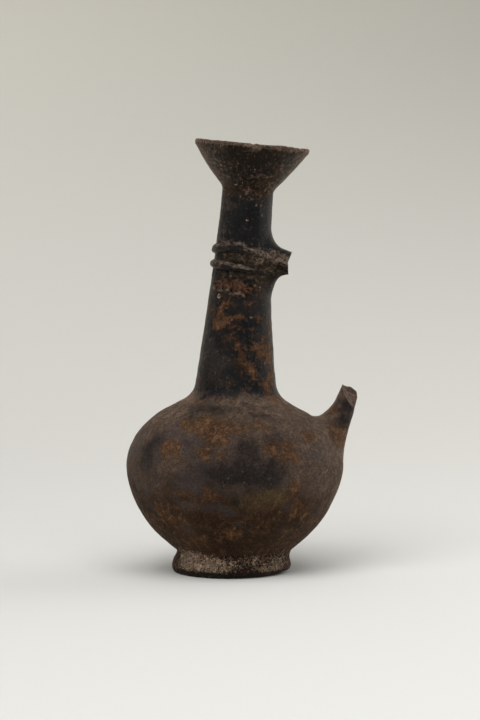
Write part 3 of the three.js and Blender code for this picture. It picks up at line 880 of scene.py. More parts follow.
@dataclass(frozen=True)
class FootRing(ClayPiece):
    """The coil under the body: a low foot, flared a little, crusted and worn at its edge."""

    node: str = "foot_ring"
    slot: str = "limed_clay"
    sole_inner: float = 16.2
    sole_outer: float = 18.25
    edge_round: float = 1.1
    edge_rise: float = 1.9
    waist_lean: Span = (19.25, 4.3)
    waist: Span = (17.8, 5.6)
    join: Span = (18.85, 7.6)
    recess: Span = (15.6, 5.5)
    offset: float = -0.75
    offset_span: Span = (7.4, 4.0)
    worn_lift: float = 1.1
    worn_turn: float = 0.45
    worn_span: Span = (0.35, 1.15)
    worn_height: Span = (3.0, 1.0)
    pit_depth: float = 0.3
    pit_size: float = 1.5
    pit_span: Span = (0.2, 0.7)
    crumb_share: float = 0.35
    columns: int = 480

    def build(self, bench: Bench) -> Skin:
        """Turn the ring's outline, shift its sole off centre, lift one worn edge and pit its crust.

        The outline runs along the sole, round the edge by a quarter ellipse, up a cubic curve
        through the waist into the body, and back under the body and down the recess.

        Args:
            bench: The shared form and weather.

        Returns:
            The ring's skin.
        """
        edge = (self.sole_outer + self.edge_round, self.edge_rise)

        def corner(t: Array) -> Array:
            """Quarter ellipse from the sole to the side."""
            return np.stack([self.sole_outer + self.edge_round * np.sin(t),
                             self.edge_rise * (1 - np.cos(t))], -1)

        def side(t: Array) -> Array:
            """Cubic curve from the edge, in at the waist and out into the body."""
            return bezier(t[:, None], *(np.array(p) for p in
                                        (edge, self.waist_lean, self.waist, self.join)))

        outline = Outline.join(
            Outline.line((self.sole_inner, 0), (self.sole_outer, 0), 8, 0.2),
            Outline.run(corner, np.linspace(0, math.pi / 2, 9, endpoint=False), 0.7),
            Outline.run(side, np.linspace(0, 1, 24), 1.0),
            Outline.line(self.join, self.recess, 6),
            Outline.line(self.recess, (self.sole_inner, 0), 14, 0.5, 0.4))
        radius, angle, height = bench.turn(outline, self.columns)
        crust = layered_noise((radius * np.cos(angle), radius * np.sin(angle), height),
                              self.pit_size, Seed.PITS)
        pits = self.pit_depth * (self.crumb_share * crust - smooth_step(*self.pit_span, crust))
        radius = radius + outline.outward[:, 0, None] * outline.rough[:, None] * pits
        worn = smooth_step(*self.worn_span, np.cos(angle + self.worn_turn))
        outer = (smooth_step(self.sole_inner, self.sole_outer, radius)
                 * smooth_step(*self.worn_height, height))
        height = np.maximum(height + self.worn_lift * worn * outer, 0.0)
        shift = self.offset * smooth_step(*self.offset_span, height)
        return bench.turned_skin(radius, angle, height, outline.inner, shift=shift)


class Half(Enum):
    """The two bowls of the body."""

    LOWER = "lower_body"
    UPPER = "upper_body"


@dataclass(frozen=True)
class BodyBowl(ClayPiece):
    """One bowl of the globular body, from the widest line down or up."""

    half: Half
    slot: str = "belly_clay"
    seam: float = 32.75
    hole: float = 12.4
    tuck: float = 0.6
    pole_outer: float = 1.0
    pole_inner: float = 0.5
    rows: int = 104
    inner_rows: int = 26
    columns: int = 440

    @property
    def node(self) -> str:
        """The node that the bowl stands for."""
        return self.half.value

    def lower_outline(self, form: VesselForm) -> Outline:
        """Underside, outer face up to the seam, and back down inside to the axis.

        Args:
            form: The vessel's sizes.

        Returns:
            The lower bowl's outline.
        """
        underside = form.angle_at_height(form.base_lift)
        floor = form.base_lift + form.body_wall
        edge = form.body_point(underside)
        inner_floor = form.angle_at_height(floor, form.body_wall)
        inner_edge = form.body_point(inner_floor, form.body_wall)
        inner_seam = form.angle_at_height(self.seam, form.body_wall)
        return Outline.join(
            Outline.line((self.pole_outer, form.base_lift), tuple(edge), 22, 0.4, 0.5),
            Outline.run(form.body_point,
                        np.linspace(underside, form.angle_at_height(self.seam), self.rows), 1.0),
            Outline.run(lambda t: form.body_point(t, form.body_wall),
                        np.linspace(inner_seam, inner_floor, self.inner_rows), 0.0, 1.0),
            Outline.line(tuple(inner_edge), (self.pole_inner, floor), 8, 0.0, 1.0))

    def upper_outline(self, form: VesselForm) -> Outline:
        """Outer face from the seam to the neck's skirt, on under it, and back inside.

        Args:
            form: The vessel's sizes.

        Returns:
            The upper bowl's outline.
        """
        skirt = form.angle_at_radius(form.skirt_radius)
        hole = form.angle_at_radius(self.hole)
        inner_hole = form.angle_at_radius(self.hole, form.body_wall)
        inner_seam = form.angle_at_height(self.seam, form.body_wall)

        def under_skirt(t: Array) -> Array:
            """The shoulder's line, drawn in a little below the neck."""
            return form.body_point(skirt + (hole - skirt) * t) - np.array([0, self.tuck]) * t[:, None]

        return Outline.join(
            Outline.run(form.body_point,
                        np.linspace(form.angle_at_height(self.seam), skirt, self.rows), 1.0),
            Outline.run(under_skirt, np.linspace(0.15, 1, 6), 0.0),
            Outline.run(lambda t: form.body_point(t, form.body_wall),
                        np.linspace(inner_hole, inner_seam, self.inner_rows), 0.0, 1.0))

    def build(self, bench: Bench) -> Skin:
        """Turn the bowl's outline, a superellipse, into its skin.

        Args:
            bench: The shared form and weather.

        Returns:
            The bowl's skin.
        """
        form = bench.form
        if self.half is Half.LOWER:
            outline = self.lower_outline(form)
            ends = np.array([[0, 0, form.base_lift], [0, 0, form.base_lift + form.body_wall]])
        else:
            outline, ends = self.upper_outline(form), None
        return bench.turned_skin(*bench.turn(outline, self.columns), outline.inner, ends)


@dataclass(frozen=True)
class Neck(ClayPiece):
    """The tall tapered tube, its foot smoothed out on to the shoulder."""

    node: str = "neck"
    slot: str = "neck_clay"
    bore: float = 5.4
    throat_wall: float = 2.7
    spigot: float = 11.4
    spigot_wall: float = 2.5
    spigot_flare: float = 0.3
    spigot_bottom: float = 54.0
    spigot_top: float = 55.6
    fine_rows: Span = (86.0, 109.0)
    columns: int = 320

    def skirt(self, form: VesselForm) -> Callable[[Array], Array]:
        """The fillet at the neck's foot: a quadratic curve tangent to shoulder and neck.

        Args:
            form: The vessel's sizes.

        Returns:
            A curve that gives radius and height from 0 on the shoulder to 1 on the neck.
        """
        angle = form.angle_at_radius(form.skirt_radius)
        start = form.body_point(angle)
        slope = form.body_point(angle + STEP) - start
        top = form.neck_base + form.skirt_rise
        end = np.array([form.neck_radius(top), top])
        drop = 0.1
        taper = (form.neck_radius(top - drop) - end[0]) / drop
        reach = (end[0] - start[0] + taper * (end[1] - start[1])) / (slope[0] + taper * slope[1])
        corner = start + slope * reach
        return lambda t: bezier(t[:, None], start, corner, end)

    def build(self, bench: Bench) -> Skin:
        """Turn the neck: skirt, quadratic taper, bore and the spigot hidden in the shoulder.

        Args:
            bench: The shared form and weather.

        Returns:
            The neck's skin.
        """
        form = bench.form
        skirt_top = form.neck_base + form.skirt_rise
        seam = form.neck_top - form.corner_below
        throat = (form.neck_top_radius - self.throat_wall, seam)
        spigot = (self.spigot, self.spigot_bottom)
        low, high = self.fine_rows
        stops = np.concatenate([np.linspace(skirt_top, low, 60, endpoint=False),
                                np.linspace(low, high, 100, endpoint=False),
                                np.linspace(high, seam, 40)])

        def shaft(height: Array) -> Array:
            """The taper from the skirt to just below the corner under the funnel."""
            return np.stack([form.neck_radius(height), height], -1)

        outline = Outline.join(
            Outline.run(self.skirt(form), np.linspace(0, 1, 30, endpoint=False), 1.0),
            Outline.run(shaft, stops, 1.0),
            Outline.line(throat, (self.bore, form.neck_base), 24, 0.3, 1.0),
            Outline.line((self.bore + self.spigot_wall, self.spigot_bottom), spigot, 3, 0.0, 1.0),
            Outline.line(spigot, (self.spigot + self.spigot_flare, self.spigot_top), 3))
        return bench.turned_skin(*bench.turn(outline, self.columns), outline.inner)


@dataclass(frozen=True)
class FunnelMouth(ClayPiece):
    """The flared mouth with its thin, uneven lip."""

    node: str = "funnel_mouth"
    slot: str = "mouth_clay"
    swell: float = 0.75
    swell_way: Span = (0.7, -0.7)
    rise: float = 0.35
    lip_band: float = 0.75
    lip_width: float = 2.2
    lip_rise: float = 0.75
    lip_lean: float = 0.12
    lip_ease: float = 1.5
    lip_waver: float = 0.16
    waver_size: float = 5.0
    chip_depth: float = 0.3
    chip_size: float = 2.6
    chip_span: Span = (0.35, 0.7)
    level: float = 0.01
    throat_wall: float = 1.0
    throat: Span = (5.4, 126.3)
    columns: int = 400

    def build(self, bench: Bench) -> Skin:
        """Turn the funnel, then let its lip waver and chip and set its rim a little level.

        The outer face is a quadratic curve from the neck's corner to the lip, the lip a short
        band and a half ellipse, the inside a straight cone down to the throat.

        Args:
            bench: The shared form and weather.

        Returns:
            The mouth's skin.
        """
        form = bench.form
        corner = np.array([form.neck_top_radius, form.neck_top])
        seam = form.neck_top - form.corner_below
        below = np.array([form.neck_radius(seam), seam])
        band_top = form.neck_top + form.funnel_rise + self.rise
        rim = np.array([form.rim_radius - self.lip_lean, band_top - self.lip_band])
        middle = (corner + rim) / 2 + self.swell * np.array(self.swell_way)
        inner_edge = (form.rim_radius - self.lip_width, band_top)
        share = form.corner_above / form.funnel_rise
        half = self.lip_width / 2

        def outer(t: Array) -> Array:
            """Slightly swollen cone from above the corner to the lip."""
            return bezier((share + (1 - share) * t)[:, None], corner, middle, rim)

        def fillet(t: Array) -> Array:
            """Quadratic curve that rounds the corner between neck and cone."""
            return bezier(t[:, None], below, corner, bezier(np.array([share]), corner, middle, rim))

        def lip(t: Array) -> Array:
            """Half ellipse over the lip."""
            return np.stack([form.rim_radius - half + half * np.cos(t),
                             band_top + self.lip_rise * np.sin(t)], -1)

        outline = Outline.join(
            Outline.run(fillet, np.linspace(0, 1, 14, endpoint=False), 1.0),
            Outline.run(outer, np.linspace(0, 1, 42, endpoint=False), 1.0),
            Outline.line(tuple(rim), (form.rim_radius, band_top), 4, 1.0),
            Outline.run(lip, np.linspace(0, math.pi, 12, endpoint=False), 1.0),
            Outline.line(inner_edge, self.throat, 44, 1.0, 1.0),
            Outline.line(self.throat, (form.neck_top_radius - self.throat_wall, seam), 3))
        radius, angle, height = bench.turn(outline, self.columns)
        x, y = radius * np.cos(angle), radius * np.sin(angle)
        at_lip = smooth_step(rim[1] - self.lip_ease, band_top, height)
        waver = self.lip_waver * layered_noise((x, y, 0 * x), self.waver_size, Seed.LIP)
        chips = layered_noise((x, y, 0 * x), self.chip_size, Seed.CHIPS, 2)
        chips = self.chip_depth * smooth_step(*self.chip_span, chips)
        flare = (height - form.neck_top) / form.funnel_rise
        height = height + at_lip * (waver - chips) + self.level * x * np.clip(flare, 0, 1)
        return bench.turned_skin(radius, angle, height, outline.inner)


@dataclass(frozen=True)
class NeckRidge(ClayPiece):
    """A clay strip pressed round the neck, whose ends run out along the handle's upper root.

    The course gives x and the heights of the strip's top and bottom over the strap's middle. The
    wear table gives x, how much the strip's top is paled there, partly rubbed and partly a painted
    highlight, and the share of its height where that starts.
    The wavers give the size and layers of the noises that vary its thickness, height and place.
    """

    node: str
    course: tuple[Triple, ...]
    wear: tuple[Triple, ...]
    setback: float
    proud: float
    fade: float
    seed: int
    slot: str = "neck_clay"
    sag: float = 0.4
    crest_power: float = 2.2
    crest_loss: float = 0.8
    under_power: float = 3.0
    fade_span: Span = (-4.0, 10.0)
    pinch_span: Span = (-9.0, -4.0)
    wavers: tuple[tuple[float, int], ...] = ((5.0, 3), (5.0, 3), (6.5, 2))
    thick_waver: float = 0.22
    tall_waver: float = 0.1
    waver: float = 0.2
    press_height: float = 0.2
    press_size: float = 2.4
    wear_start: Span = (-0.15, 0.2)
    wear_end: Span = (1.05, 0.8)
    wear_waver: float = 0.3
    wear_size: float = 3.0
    soil_span: Span = (0.25, 0.6)
    soil_loss: float = 0.9
    tuck: float = 0.18
    depth: float = 0.9
    tail_depth: float = 1.2
    tail_steps: int = 40
    arc_steps: int = 190
    front_rows: int = 40
    back_reach: float = 0.9
    back_rows: int = 6

    def path(self, form: VesselForm, strap: StrapHandle) -> tuple[Array, Array, Array]:
        """The strip's way in plan, anticlockwise: tail, round the neck, tail.

        Round the neck it is a circle. A tail leaves it at the leave angle and runs out on a
        parabola that is tangent to the circle and ends level at the strap's half width.

        Args:
            form: The vessel's sizes.
            strap: The handle's sizes.

        Returns:
            Points in plan, outward directions, and 1 on the neck falling to 0 along the tails.
        """
        radius = form.neck_radius(strap.collar(form))
        start_x = radius * math.cos(strap.leave_angle)
        start_y = radius * math.sin(strap.leave_angle)
        flare = start_y - strap.half_width
        run = 2 * flare * math.tan(strap.leave_angle)
        end_x = strap.break_reach(form) - self.setback
        tail_x = np.linspace(end_x, start_x, self.tail_steps, endpoint=False)
        tail_y = strap.half_width + flare * np.clip(1 - (tail_x - start_x) / run, 0, 1) ** 2
        angle = np.linspace(strap.leave_angle, TURN - strap.leave_angle, self.arc_steps)
        arc = np.stack([np.cos(angle), np.sin(angle)], -1) * radius
        plan = np.concatenate([np.stack([tail_x, tail_y], -1), arc,
                               np.stack([tail_x, -tail_y], -1)[::-1]])
        along = unit(np.gradient(plan, axis=0))
        fading = np.linspace(0, 1, self.tail_steps)
        on_neck = np.concatenate([fading, np.ones(self.arc_steps), fading[::-1]])
        return plan, np.stack([along[:, 1], -along[:, 0]], -1), on_neck

    def build(self, bench: Bench) -> Skin:
        """Carry the strip's section along its path.

        The section is a bump over w, which runs from 1 at the strip's top to -1 at its bottom and
        sags towards the front, so that the crest comes to lie low there. Above the crest it falls
        off as w to a power from 2.2 down to 1.4, below it steeply, as the cube. Its back is flat
        and lies inside the neck. Noise makes the strip thicker and thinner and dents it as fingers
        do, and it follows the clay's unevenness.

        Args:
            bench: The shared form, strap and weather.

        Returns:
            The strip's skin.
        """
        form, strap = bench.form, bench.strap
        plan, outward, on_neck = self.path(form, strap)
        radius = form.neck_radius(strap.collar(form))
        x, y = plan.T
        place, top, bottom = zip(*self.course)
        top, bottom = np.interp(x, place, top), np.interp(x, place, bottom)
        thin, low, lean = (layered_noise((x, y, 0 * x), size, self.seed + k, layers)
                           for k, (size, layers) in enumerate(self.wavers))
        middle = strap.collar(form) + (top + bottom) / 2 + self.waver * lean
        tall = (top - bottom) / 2 * (1 + self.tall_waver * low)
        thick = (1 - self.fade * smooth_step(*self.fade_span, x)) * (1 + self.thick_waver * thin)
        pinched = smooth_step(*self.pinch_span, x)[:, None]
        front = np.linspace(1, -1, self.front_rows)
        back = np.linspace(-self.back_reach, self.back_reach, self.back_rows)
        across = np.concatenate([front, back])
        w = np.clip(front + self.sag * pinched * (1 - front**2), -1, 1)
        crest = self.crest_power - self.crest_loss * pinched
        bump = 1 - np.where(w > 0, np.abs(w) ** crest, np.abs(w) ** self.under_power)
        bump = np.concatenate([bump, np.zeros((len(x), self.back_rows))], axis=1)
        behind = np.concatenate([np.zeros(self.front_rows), np.ones(self.back_rows)])
        height = middle[:, None] + tall[:, None] * across
        taper = (form.neck_radius(height) - radius) * on_neck[:, None]
        deep = self.depth + self.tail_depth * (1 - on_neck[:, None])
        proud = self.proud * thick[:, None] * bump - self.tuck - deep * behind
        base = plan[:, None] + outward[:, None] * taper[..., None]
        at = (*np.moveaxis(base, -1, 0), height)
        pressed = layered_noise(at, self.press_size, self.seed + 4)
        pressed = self.press_height * bump**0.5 * pressed
        out = proud + (bench.relief.height(at) + pressed) * (1 - behind)
        base = base + outward[:, None] * out[..., None]
        points = np.concatenate([base, height[..., None]], -1)
        at = np.moveaxis(points, -1, 0)
        masks = bench.weather.masks(at, 0 * height)
        # pale band along the strip's top: partly rubbed clay, partly painted highlight where light falls
        # on the top
        place, strength, start = zip(*self.wear)
        start = np.interp(x, place, start)[:, None]
        band = (smooth_step(*(start + step for step in self.wear_start), across)
                * smooth_step(*self.wear_end, across))
        worn = np.interp(x, place, strength)[:, None] * band * (1 - behind)
        worn = worn * (1 + self.wear_waver * layered_noise(at, self.wear_size, self.seed + 3, 2))
        masks[Layer.WEAR] = np.clip(np.maximum(masks[Layer.WEAR], worn), 0, 1)
        masks[Layer.SOIL] = masks[Layer.SOIL] * (1 - self.soil_loss * smooth_step(*self.soil_span, bump))
        return Skin(points, masks, points[[0, -1]].mean(axis=1))


UPPER_RIDGE = NeckRidge(
    "neck_ridge_upper",
    course=((-9.8, 4.5, 1.0), (-8.6, 4.65, 1.3), (-6.7, 5.1, 2.15), (-4.8, 5.3, 2.5),
            (-1.9, 5.1, 2.5), (0.6, 4.7, 2.3), (2.5, 4.3, 2.0), (4.8, 4.05, 1.3), (6.4, 3.85, 0.65),
            (7.5, 3.65, 0.3), (10.0, 2.85, -0.4), (12.4, 1.75, -0.85), (14.5, 0.7, -1.25)),
    wear=((-9.0, 0.45, 0.3), (-6.0, 0.55, 0.3), (-3.0, 0.4, 0.5), (-1.0, 0.55, 0.6), (1.0, 0.75, 0.4),
          (3.0, 0.85, 0.1), (6.0, 0.85, -0.05), (9.0, 0.85, 0.0), (12.0, 0.95, 0.0), (15.0, 0.85, -0.1)),
    setback=0.9, proud=1.3, fade=0.0, seed=Seed.UPPER_RIDGE)
LOWER_RIDGE = NeckRidge(
    "neck_ridge_lower",
    course=((-9.8, -0.45, -3.2), (-9.0, -0.4, -3.2), (-6.4, -0.25, -3.2), (-3.8, -0.6, -3.35),
            (-1.2, -0.85, -3.6), (1.4, -1.35, -3.75), (4.3, -2.0, -3.9), (6.9, -2.4, -4.0),
            (9.2, -2.45, -3.7)),
    wear=((-9.0, 0.3, 0.0), (-6.0, 0.5, 0.1), (-3.0, 0.6, -0.1), (-1.0, 0.75, -0.4),
          (1.0, 0.7, -0.4), (3.0, 0.5, -0.1), (6.0, 0.4, 0.1), (9.0, 0.3, 0.0)),
    setback=5.5, proud=1.5, fade=0.45, seed=Seed.LOWER_RIDGE)


@dataclass(frozen=True)
class BrokenRoot(ClayPiece):
    """What the strap's two roots share: a fillet on the pot, the strap, and its rough broken face."""

    slot: str = "strap_clay"
    sink: float = 0.15
    hollow: float = 0.5
    break_rough: float = 0.45
    break_size: float = 2.2
    break_seed: int = Seed.UPPER_BREAK
    edge_jag: float = 0.35
    edge_size: float = 1.6
    edge_spread: float = 4.0
    edge_seed: int = Seed.UPPER_EDGE
    browner: float = 0.0
    brown_span: Span = (0.2, 0.6)
    run_start: float = 0.2
    cap_span: Span = (0.94, 0.04)
    fillet_rows: int = 44
    run_rows: int = 8
    cap_rows: int = 16
    columns: int = 160

    def turns(self) -> Array:
        """The angles of the columns round the strap."""
        return np.arange(self.columns) / self.columns * TURN

    def jag(self, turn: Array) -> Array:
        """Unevenness of the break's edge, which closes round the strap."""
        round_strap = self.edge_spread * np.cos(turn), self.edge_spread * np.sin(turn), 0 * turn
        return self.edge_jag * layered_noise(round_strap, self.edge_size, self.edge_seed, 2)

    def skin(self, bench: Bench, skirt: Array, pot_pull: Array, stub: Array, strap_pull: Array,
             end: Array, inward: Array) -> Skin:
        """Make the fillet, the strap up to its break, and the broken face, with their masks.

        Each column is a cubic curve that leaves the pot along its face and ends along the strap, a
        straight run to the break's edge, and rows that shrink to the break's middle. The broken
        face is hollowed by 1 - k^2 and roughened by noise, which fades at its edge. The rest takes
        the clay's unevenness along its own outward directions.

        Args:
            bench: The shared form, strap and weather.
            skirt: Where each column starts on the pot.
            pot_pull: From there to the curve's second corner, along the pot's face.
            stub: Where each column's curve ends, on the strap.
            strap_pull: From there to the curve's third corner, against the strap's direction.
            end: The break's edge.
            inward: Direction into the strap from the broken face.

        Returns:
            The root's skin, fanned to a point inside the pot and to the break's middle.
        """
        t = np.linspace(0, 1, self.fillet_rows)[:, None, None]
        fillet = bezier(t, skirt, skirt + pot_pull, stub + strap_pull, stub)
        run = stub + (end - stub) * np.linspace(self.run_start, 1, self.run_rows)[:, None, None]
        shrink = np.linspace(*self.cap_span, self.cap_rows)[:, None, None]
        middle = end.mean(axis=0)
        cap = middle + (end - middle) * shrink
        rough = layered_noise(np.moveaxis(cap, -1, 0), self.break_size, self.break_seed)
        inside = shrink[..., 0]
        sunk = self.hollow * (1 - inside**2) + self.break_rough * rough * (1 - inside**6)
        points = np.concatenate([fillet, run, cap + inward * sunk[..., None]])
        broken = np.zeros(points.shape[:2])
        broken[-self.cap_rows - 1:] = 1.0
        columns = np.roll(points, -1, axis=1) - np.roll(points, 1, axis=1)
        outward = unit(np.cross(columns, np.gradient(points, axis=0)))
        at = np.moveaxis(points, -1, 0)
        points = points + outward * (bench.relief.height(at) * (1 - broken))[..., None]
        masks = bench.weather.masks(at, 0 * broken)
        masks[Layer.BREAK] = broken
        out = smooth_step(*self.brown_span, np.linspace(0, 1, len(points)))[:, None]
        masks[Layer.BROWN] = np.clip(masks[Layer.BROWN] + self.browner * out, 0, 1)
        return Skin(points, masks, points[[0, -1]].mean(axis=1))


@dataclass(frozen=True)
class UpperRoot(BrokenRoot):
    """The stub of the strap on the neck, thicker where it leaves the neck than at its break."""

    node: str = "handle_root_upper"
    stub_top: float = 4.4
    stub_bottom: float = 4.3
    end_top: float = 3.7
    end_bottom: float = 3.8
    top_spread: float = 14.5
    bottom_spread: float = 13.5
    stub_setback: float = 2.1
    edge_top: float = 1.3
    edge_bottom: float = 0.65
    edge_dip: float = 0.9
    side_share: float = 1.02
    steep: Triple = (0.37, 0.23, 0.08)
    pull: Triple = (0.33, -0.06, -0.12)
    browner: float = -0.2

    def build(self, bench: Bench) -> Skin:
        """Make the root's fillet on the neck, its stub and its broken end.

        The skirt is an oval on the neck's face, as wide as the leave angle, and the strap's section
        a rounded oblong. The fillet is tight above the strap and rounder below it.

        Args:
            bench: The shared form, strap and weather.

        Returns:
            The root's skin.
        """
        form, strap = bench.form, bench.strap
        turn = self.turns()
        above, below = np.clip(np.sin(turn), 0, 1) ** 2, np.clip(-np.sin(turn), 0, 1) ** 2
        upper = np.sin(turn) > 0
        collar, reach = strap.collar(form), strap.break_reach(form)
        side = strap.leave_angle * self.side_share * np.cos(turn)
        height = collar + np.where(upper, self.top_spread, self.bottom_spread) * np.sin(turn)
        radius = form.neck_radius(height) - self.sink
        skirt = np.stack([radius * np.cos(side), radius * np.sin(side), height], -1)
        along = unit(np.stack([radius * np.sin(side) * side, -radius * np.cos(side) * side,
                               collar - height], -1))
        wide, deep = strap.oblong(turn)
        edge = (reach - self.edge_dip + self.edge_top * above + self.edge_bottom * below
                + self.jag(turn))

        def section(out: Array | float, top: float, bottom: float) -> Array:
            """The rounded oblong at a distance from the axis."""
            depth = np.where(upper, top, bottom)
            return np.stack([out + 0 * turn, strap.half_width * wide, collar + depth * deep], -1)

        stub = section(reach - self.stub_setback, self.stub_top, self.stub_bottom)
        end = section(edge, self.end_top, self.end_bottom)
        gap = lengths(stub - skirt)
        steep, pull = (gap * (beside + more_above * above + more_below * below)[:, None]
                       for beside, more_above, more_below in (self.steep, self.pull))
        return self.skin(bench, skirt, along * steep, stub, unit(stub - end) * pull, end,
                         np.array([-1.0, 0.0, 0.0]))


@dataclass(frozen=True)
class LowerRoot(BrokenRoot):
    """The stub of the strap on the shoulder, broken off on the slant."""

    node: str = "handle_root_lower"
    seat_rise: float = 11.5
    out: float = 6.3
    up: float = 13.3
    swing: float = 4.0
    half_depth: float = 3.0
    inner_spread: float = 8.6
    outer_spread: float = 14.0
    side_spread: float = 12.5
    break_inner: float = 1.55
    break_back: float = 1.76
    break_twist: float = -1.32
    stub_share: float = 0.78
    stub_swell: float = 0.45
    swell_outside: float = 0.4
    seat_depth: float = 2.5
    nearer: float = 0.98
    edge_jag: float = 0.3
    hug: float = 0.36
    hug_inside: float = 0.05
    edge_seed: int = Seed.LOWER_EDGE
    hollow: float = 0.3
    break_seed: int = Seed.LOWER_BREAK
    browner: float = 0.55

    def build(self, bench: Bench) -> Skin:
        """Make the root's fillet on the shoulder, its rising strap and its slanted broken end.

        The strap's middle is a quadratic curve that leaves the shoulder squarely and turns up. Its
        break slides along the strap by a share of the depth, a share of the width and a share of
        both multiplied, so that it is low in front and outside and high behind.

        Args:
            bench: The shared form, strap and weather.

        Returns:
            The root's skin.
        """
        form, strap = bench.form, bench.strap
        turn = self.turns()
        angle = form.angle_at_height(form.belly_height + self.seat_rise)
        seat = form.body_point(angle)
        slope = form.body_point(angle + STEP) - form.body_point(angle - STEP)
        rate = np.linalg.norm(slope) / (2 * STEP)
        normal = unit(np.array([slope[1], -slope[0]]))
        top = seat + np.array([self.out, self.up])
        corners = (seat - self.seat_depth * normal, seat + self.swing * normal, top)
        spread = np.where(np.sin(turn) > 0, self.inner_spread, self.outer_spread)
        outer = form.body_point(angle + spread * np.sin(turn) / rate)

        def on_pot(share: float) -> Array:
            """An oval round the seat on the pot's face.

            Args:
                share: How much of its full size it has.

            Returns:
                Its points, one for each column.
            """
            around = form.body_point(angle + share * spread * np.sin(turn) / rate)
            side = share * self.side_spread * np.cos(turn) / outer[:, 0]
            return np.stack([around[:, 0] * np.cos(side), around[:, 0] * np.sin(side), around[:, 1]], -1)

        oval = on_pot(1.0)
        skirt = oval - self.sink * np.array([normal[0], 0, normal[1]])
        along = unit(on_pot(self.nearer) - oval)
        wide, deep = strap.oblong(turn)

        def ring(t: float, slant: float) -> tuple[Array, Array]:
            """The strap's section, slanted as the break is.

            Args:
                t: Place along the strap's middle, 0 to 1.
                slant: How much of the break's slant it has.

            Returns:
                Its points, and the strap's direction there.
            """
            place = np.array([[t]])
            centre = bezier(place, *(c[None] for c in corners))[0]
            ahead = unit(bezier(place + STEP, *(c[None] for c in corners))[0] - centre)
            inner = np.array([-ahead[1], ahead[0]])
            swell = self.stub_swell * np.where(deep > 0, 1.0, self.swell_outside) * 2 * (1 - slant)
            offset = (self.half_depth + swell) * deep
            slide = slant * (self.break_inner * deep + self.break_back * wide
                             + self.break_twist * deep * wide)
            plan = centre + offset[:, None] * inner + slide[:, None] * ahead
            points = np.stack([plan[:, 0], strap.half_width * wide, plan[:, 1]], -1)
            return points, np.array([ahead[0], 0, ahead[1]])

        stub, ahead = ring(self.stub_share, 0.5)
        end, last = ring(1.0, 1.0)
        end = end + last * self.jag(turn)[:, None]
        hug = (self.hug + self.hug_inside * np.clip(np.sin(turn), 0, 1))[:, None]
        hug = hug * lengths(stub - skirt)
        return self.skin(bench, skirt, along * hug, stub, -ahead * hug, end, -last)


def linear(*screen: int) -> tuple[float, ...]:
    """A colour written as screen values from 0 to 255, as the linear colour that sockets take."""
    shares = (value / 255 for value in screen)
    return (*(v / 12.92 if v <= 0.04045 else ((v + 0.055) / 1.055) ** 2.4 for v in shares), 1.0)


@dataclass(frozen=True)
class Tones:
    """Two screen colours between which a surface varies."""

    dark: Colour
    light: Colour


class Chart:
    """A node tree under construction. What is given to its nodes are values or sockets."""

    def __init__(self, tree: bpy.types.NodeTree) -> None:
        """Start on an empty tree."""
        self.tree = tree
        tree.nodes.clear()

    def feed(self, node: bpy.types.Node, *operands: object, **inputs: object) -> None:
        """Link or set a node's inputs.

        Args:
            node: The node.
            operands: What its first inputs get, in their order.
            inputs: What others get, by the name of the first enabled one, with _ for spaces.
        """
        pairs = list(zip(node.inputs, operands))
        for name, given in inputs.items():
            label = name.replace("_", " ")
            pairs.append((next(s for s in node.inputs if s.name == label and s.enabled), given))
        for socket, given in pairs:
            if isinstance(given, Socket):
                self.tree.links.new(given, socket)
            else:
                socket.default_value = given

    def add(self, kind: str, settings: dict[str, object] | None = None, *operands: object,
            **inputs: object) -> bpy.types.Node:
        """Add a node, set its properties, and feed its inputs.

        Args:
            kind: The node's type without the ShaderNode prefix.
            settings: Properties of the node itself.
            operands: What its first inputs get, in their order.
            inputs: What others get, by name.

        Returns:
            The node.
        """
        node = self.tree.nodes.new(kind if kind.startswith("Node") else f"ShaderNode{kind}")
        for name, value in (settings or {}).items():
            setattr(node, name, value)
        self.feed(node, *operands, **inputs)
        return node

    def math(self, operation: str, *operands: object) -> Socket:
        """A Math node's result."""
        return self.add("Math", {"operation": operation}, *operands).outputs[0]

    def weigh(self, first: Socket, share: float, second: Socket) -> Socket:
        """A share of the first value and the rest of the second."""
        return self.math("MULTIPLY_ADD", first, share, self.math("MULTIPLY", second, 1 - share))

    def mix(self, factor: Socket, below: Socket | Colour, above: Socket | Colour) -> Socket:
        """Mix two colours, each a socket or a screen colour.

        Args:
            factor: 0 for the colour below, 1 for the colour above.
            below: The first colour.
            above: The second colour.

        Returns:
            The mixed colour.
        """
        first, second = (c if isinstance(c, Socket) else linear(*c) for c in (below, above))
        node = self.add("Mix", {"data_type": "RGBA"}, Factor=factor, A=first, B=second)
        return next(s for s in node.outputs if s.enabled)

    def vary(self, factor: Socket, tones: Tones) -> Socket:
        """A colour between two tones."""
        return self.mix(factor, tones.dark, tones.light)

    def ease(self, given: Socket, low: object, high: object) -> Socket:
        """Ease a value from 0 to 1 between low and high."""
        return self.add("MapRange", {"interpolation_type": "SMOOTHSTEP"}, Value=given, From_Min=low,
                        From_Max=high).outputs["Result"]

    def keep(self, given: Socket, amount: Socket, bar: float, drop: float, soft: float) -> Socket:
        """Keep the peaks of a value above a bar, which the amount lowers, and ease them in."""
        low = self.math("MULTIPLY_ADD", amount, -drop, bar)
        return self.ease(given, low, self.math("ADD", low, soft))

    def spread(self, given: Socket, low: float, high: float, bottom: float = 0.0,
               top: float = 1.0) -> Socket:
        """Map a value straight from one span to another, held at the ends."""
        return self.add("MapRange", None, Value=given, From_Min=low, From_Max=high, To_Min=bottom,
                        To_Max=top).outputs["Result"]

    def between(self, given: Socket, bottom: float, top: float) -> Socket:
        """Map a value from 0 to 1 straight to a span, held at the ends."""
        return self.spread(given, 0.0, 1.0, bottom, top)

    def noise(self, vector: Socket, scale: object, detail: float, roughness: float) -> Socket:
        """A noise texture's value, about 0.5 in its middle."""
        return self.add("TexNoise", None, Vector=vector, Scale=scale, Detail=detail,
                        Roughness=roughness).outputs[0]


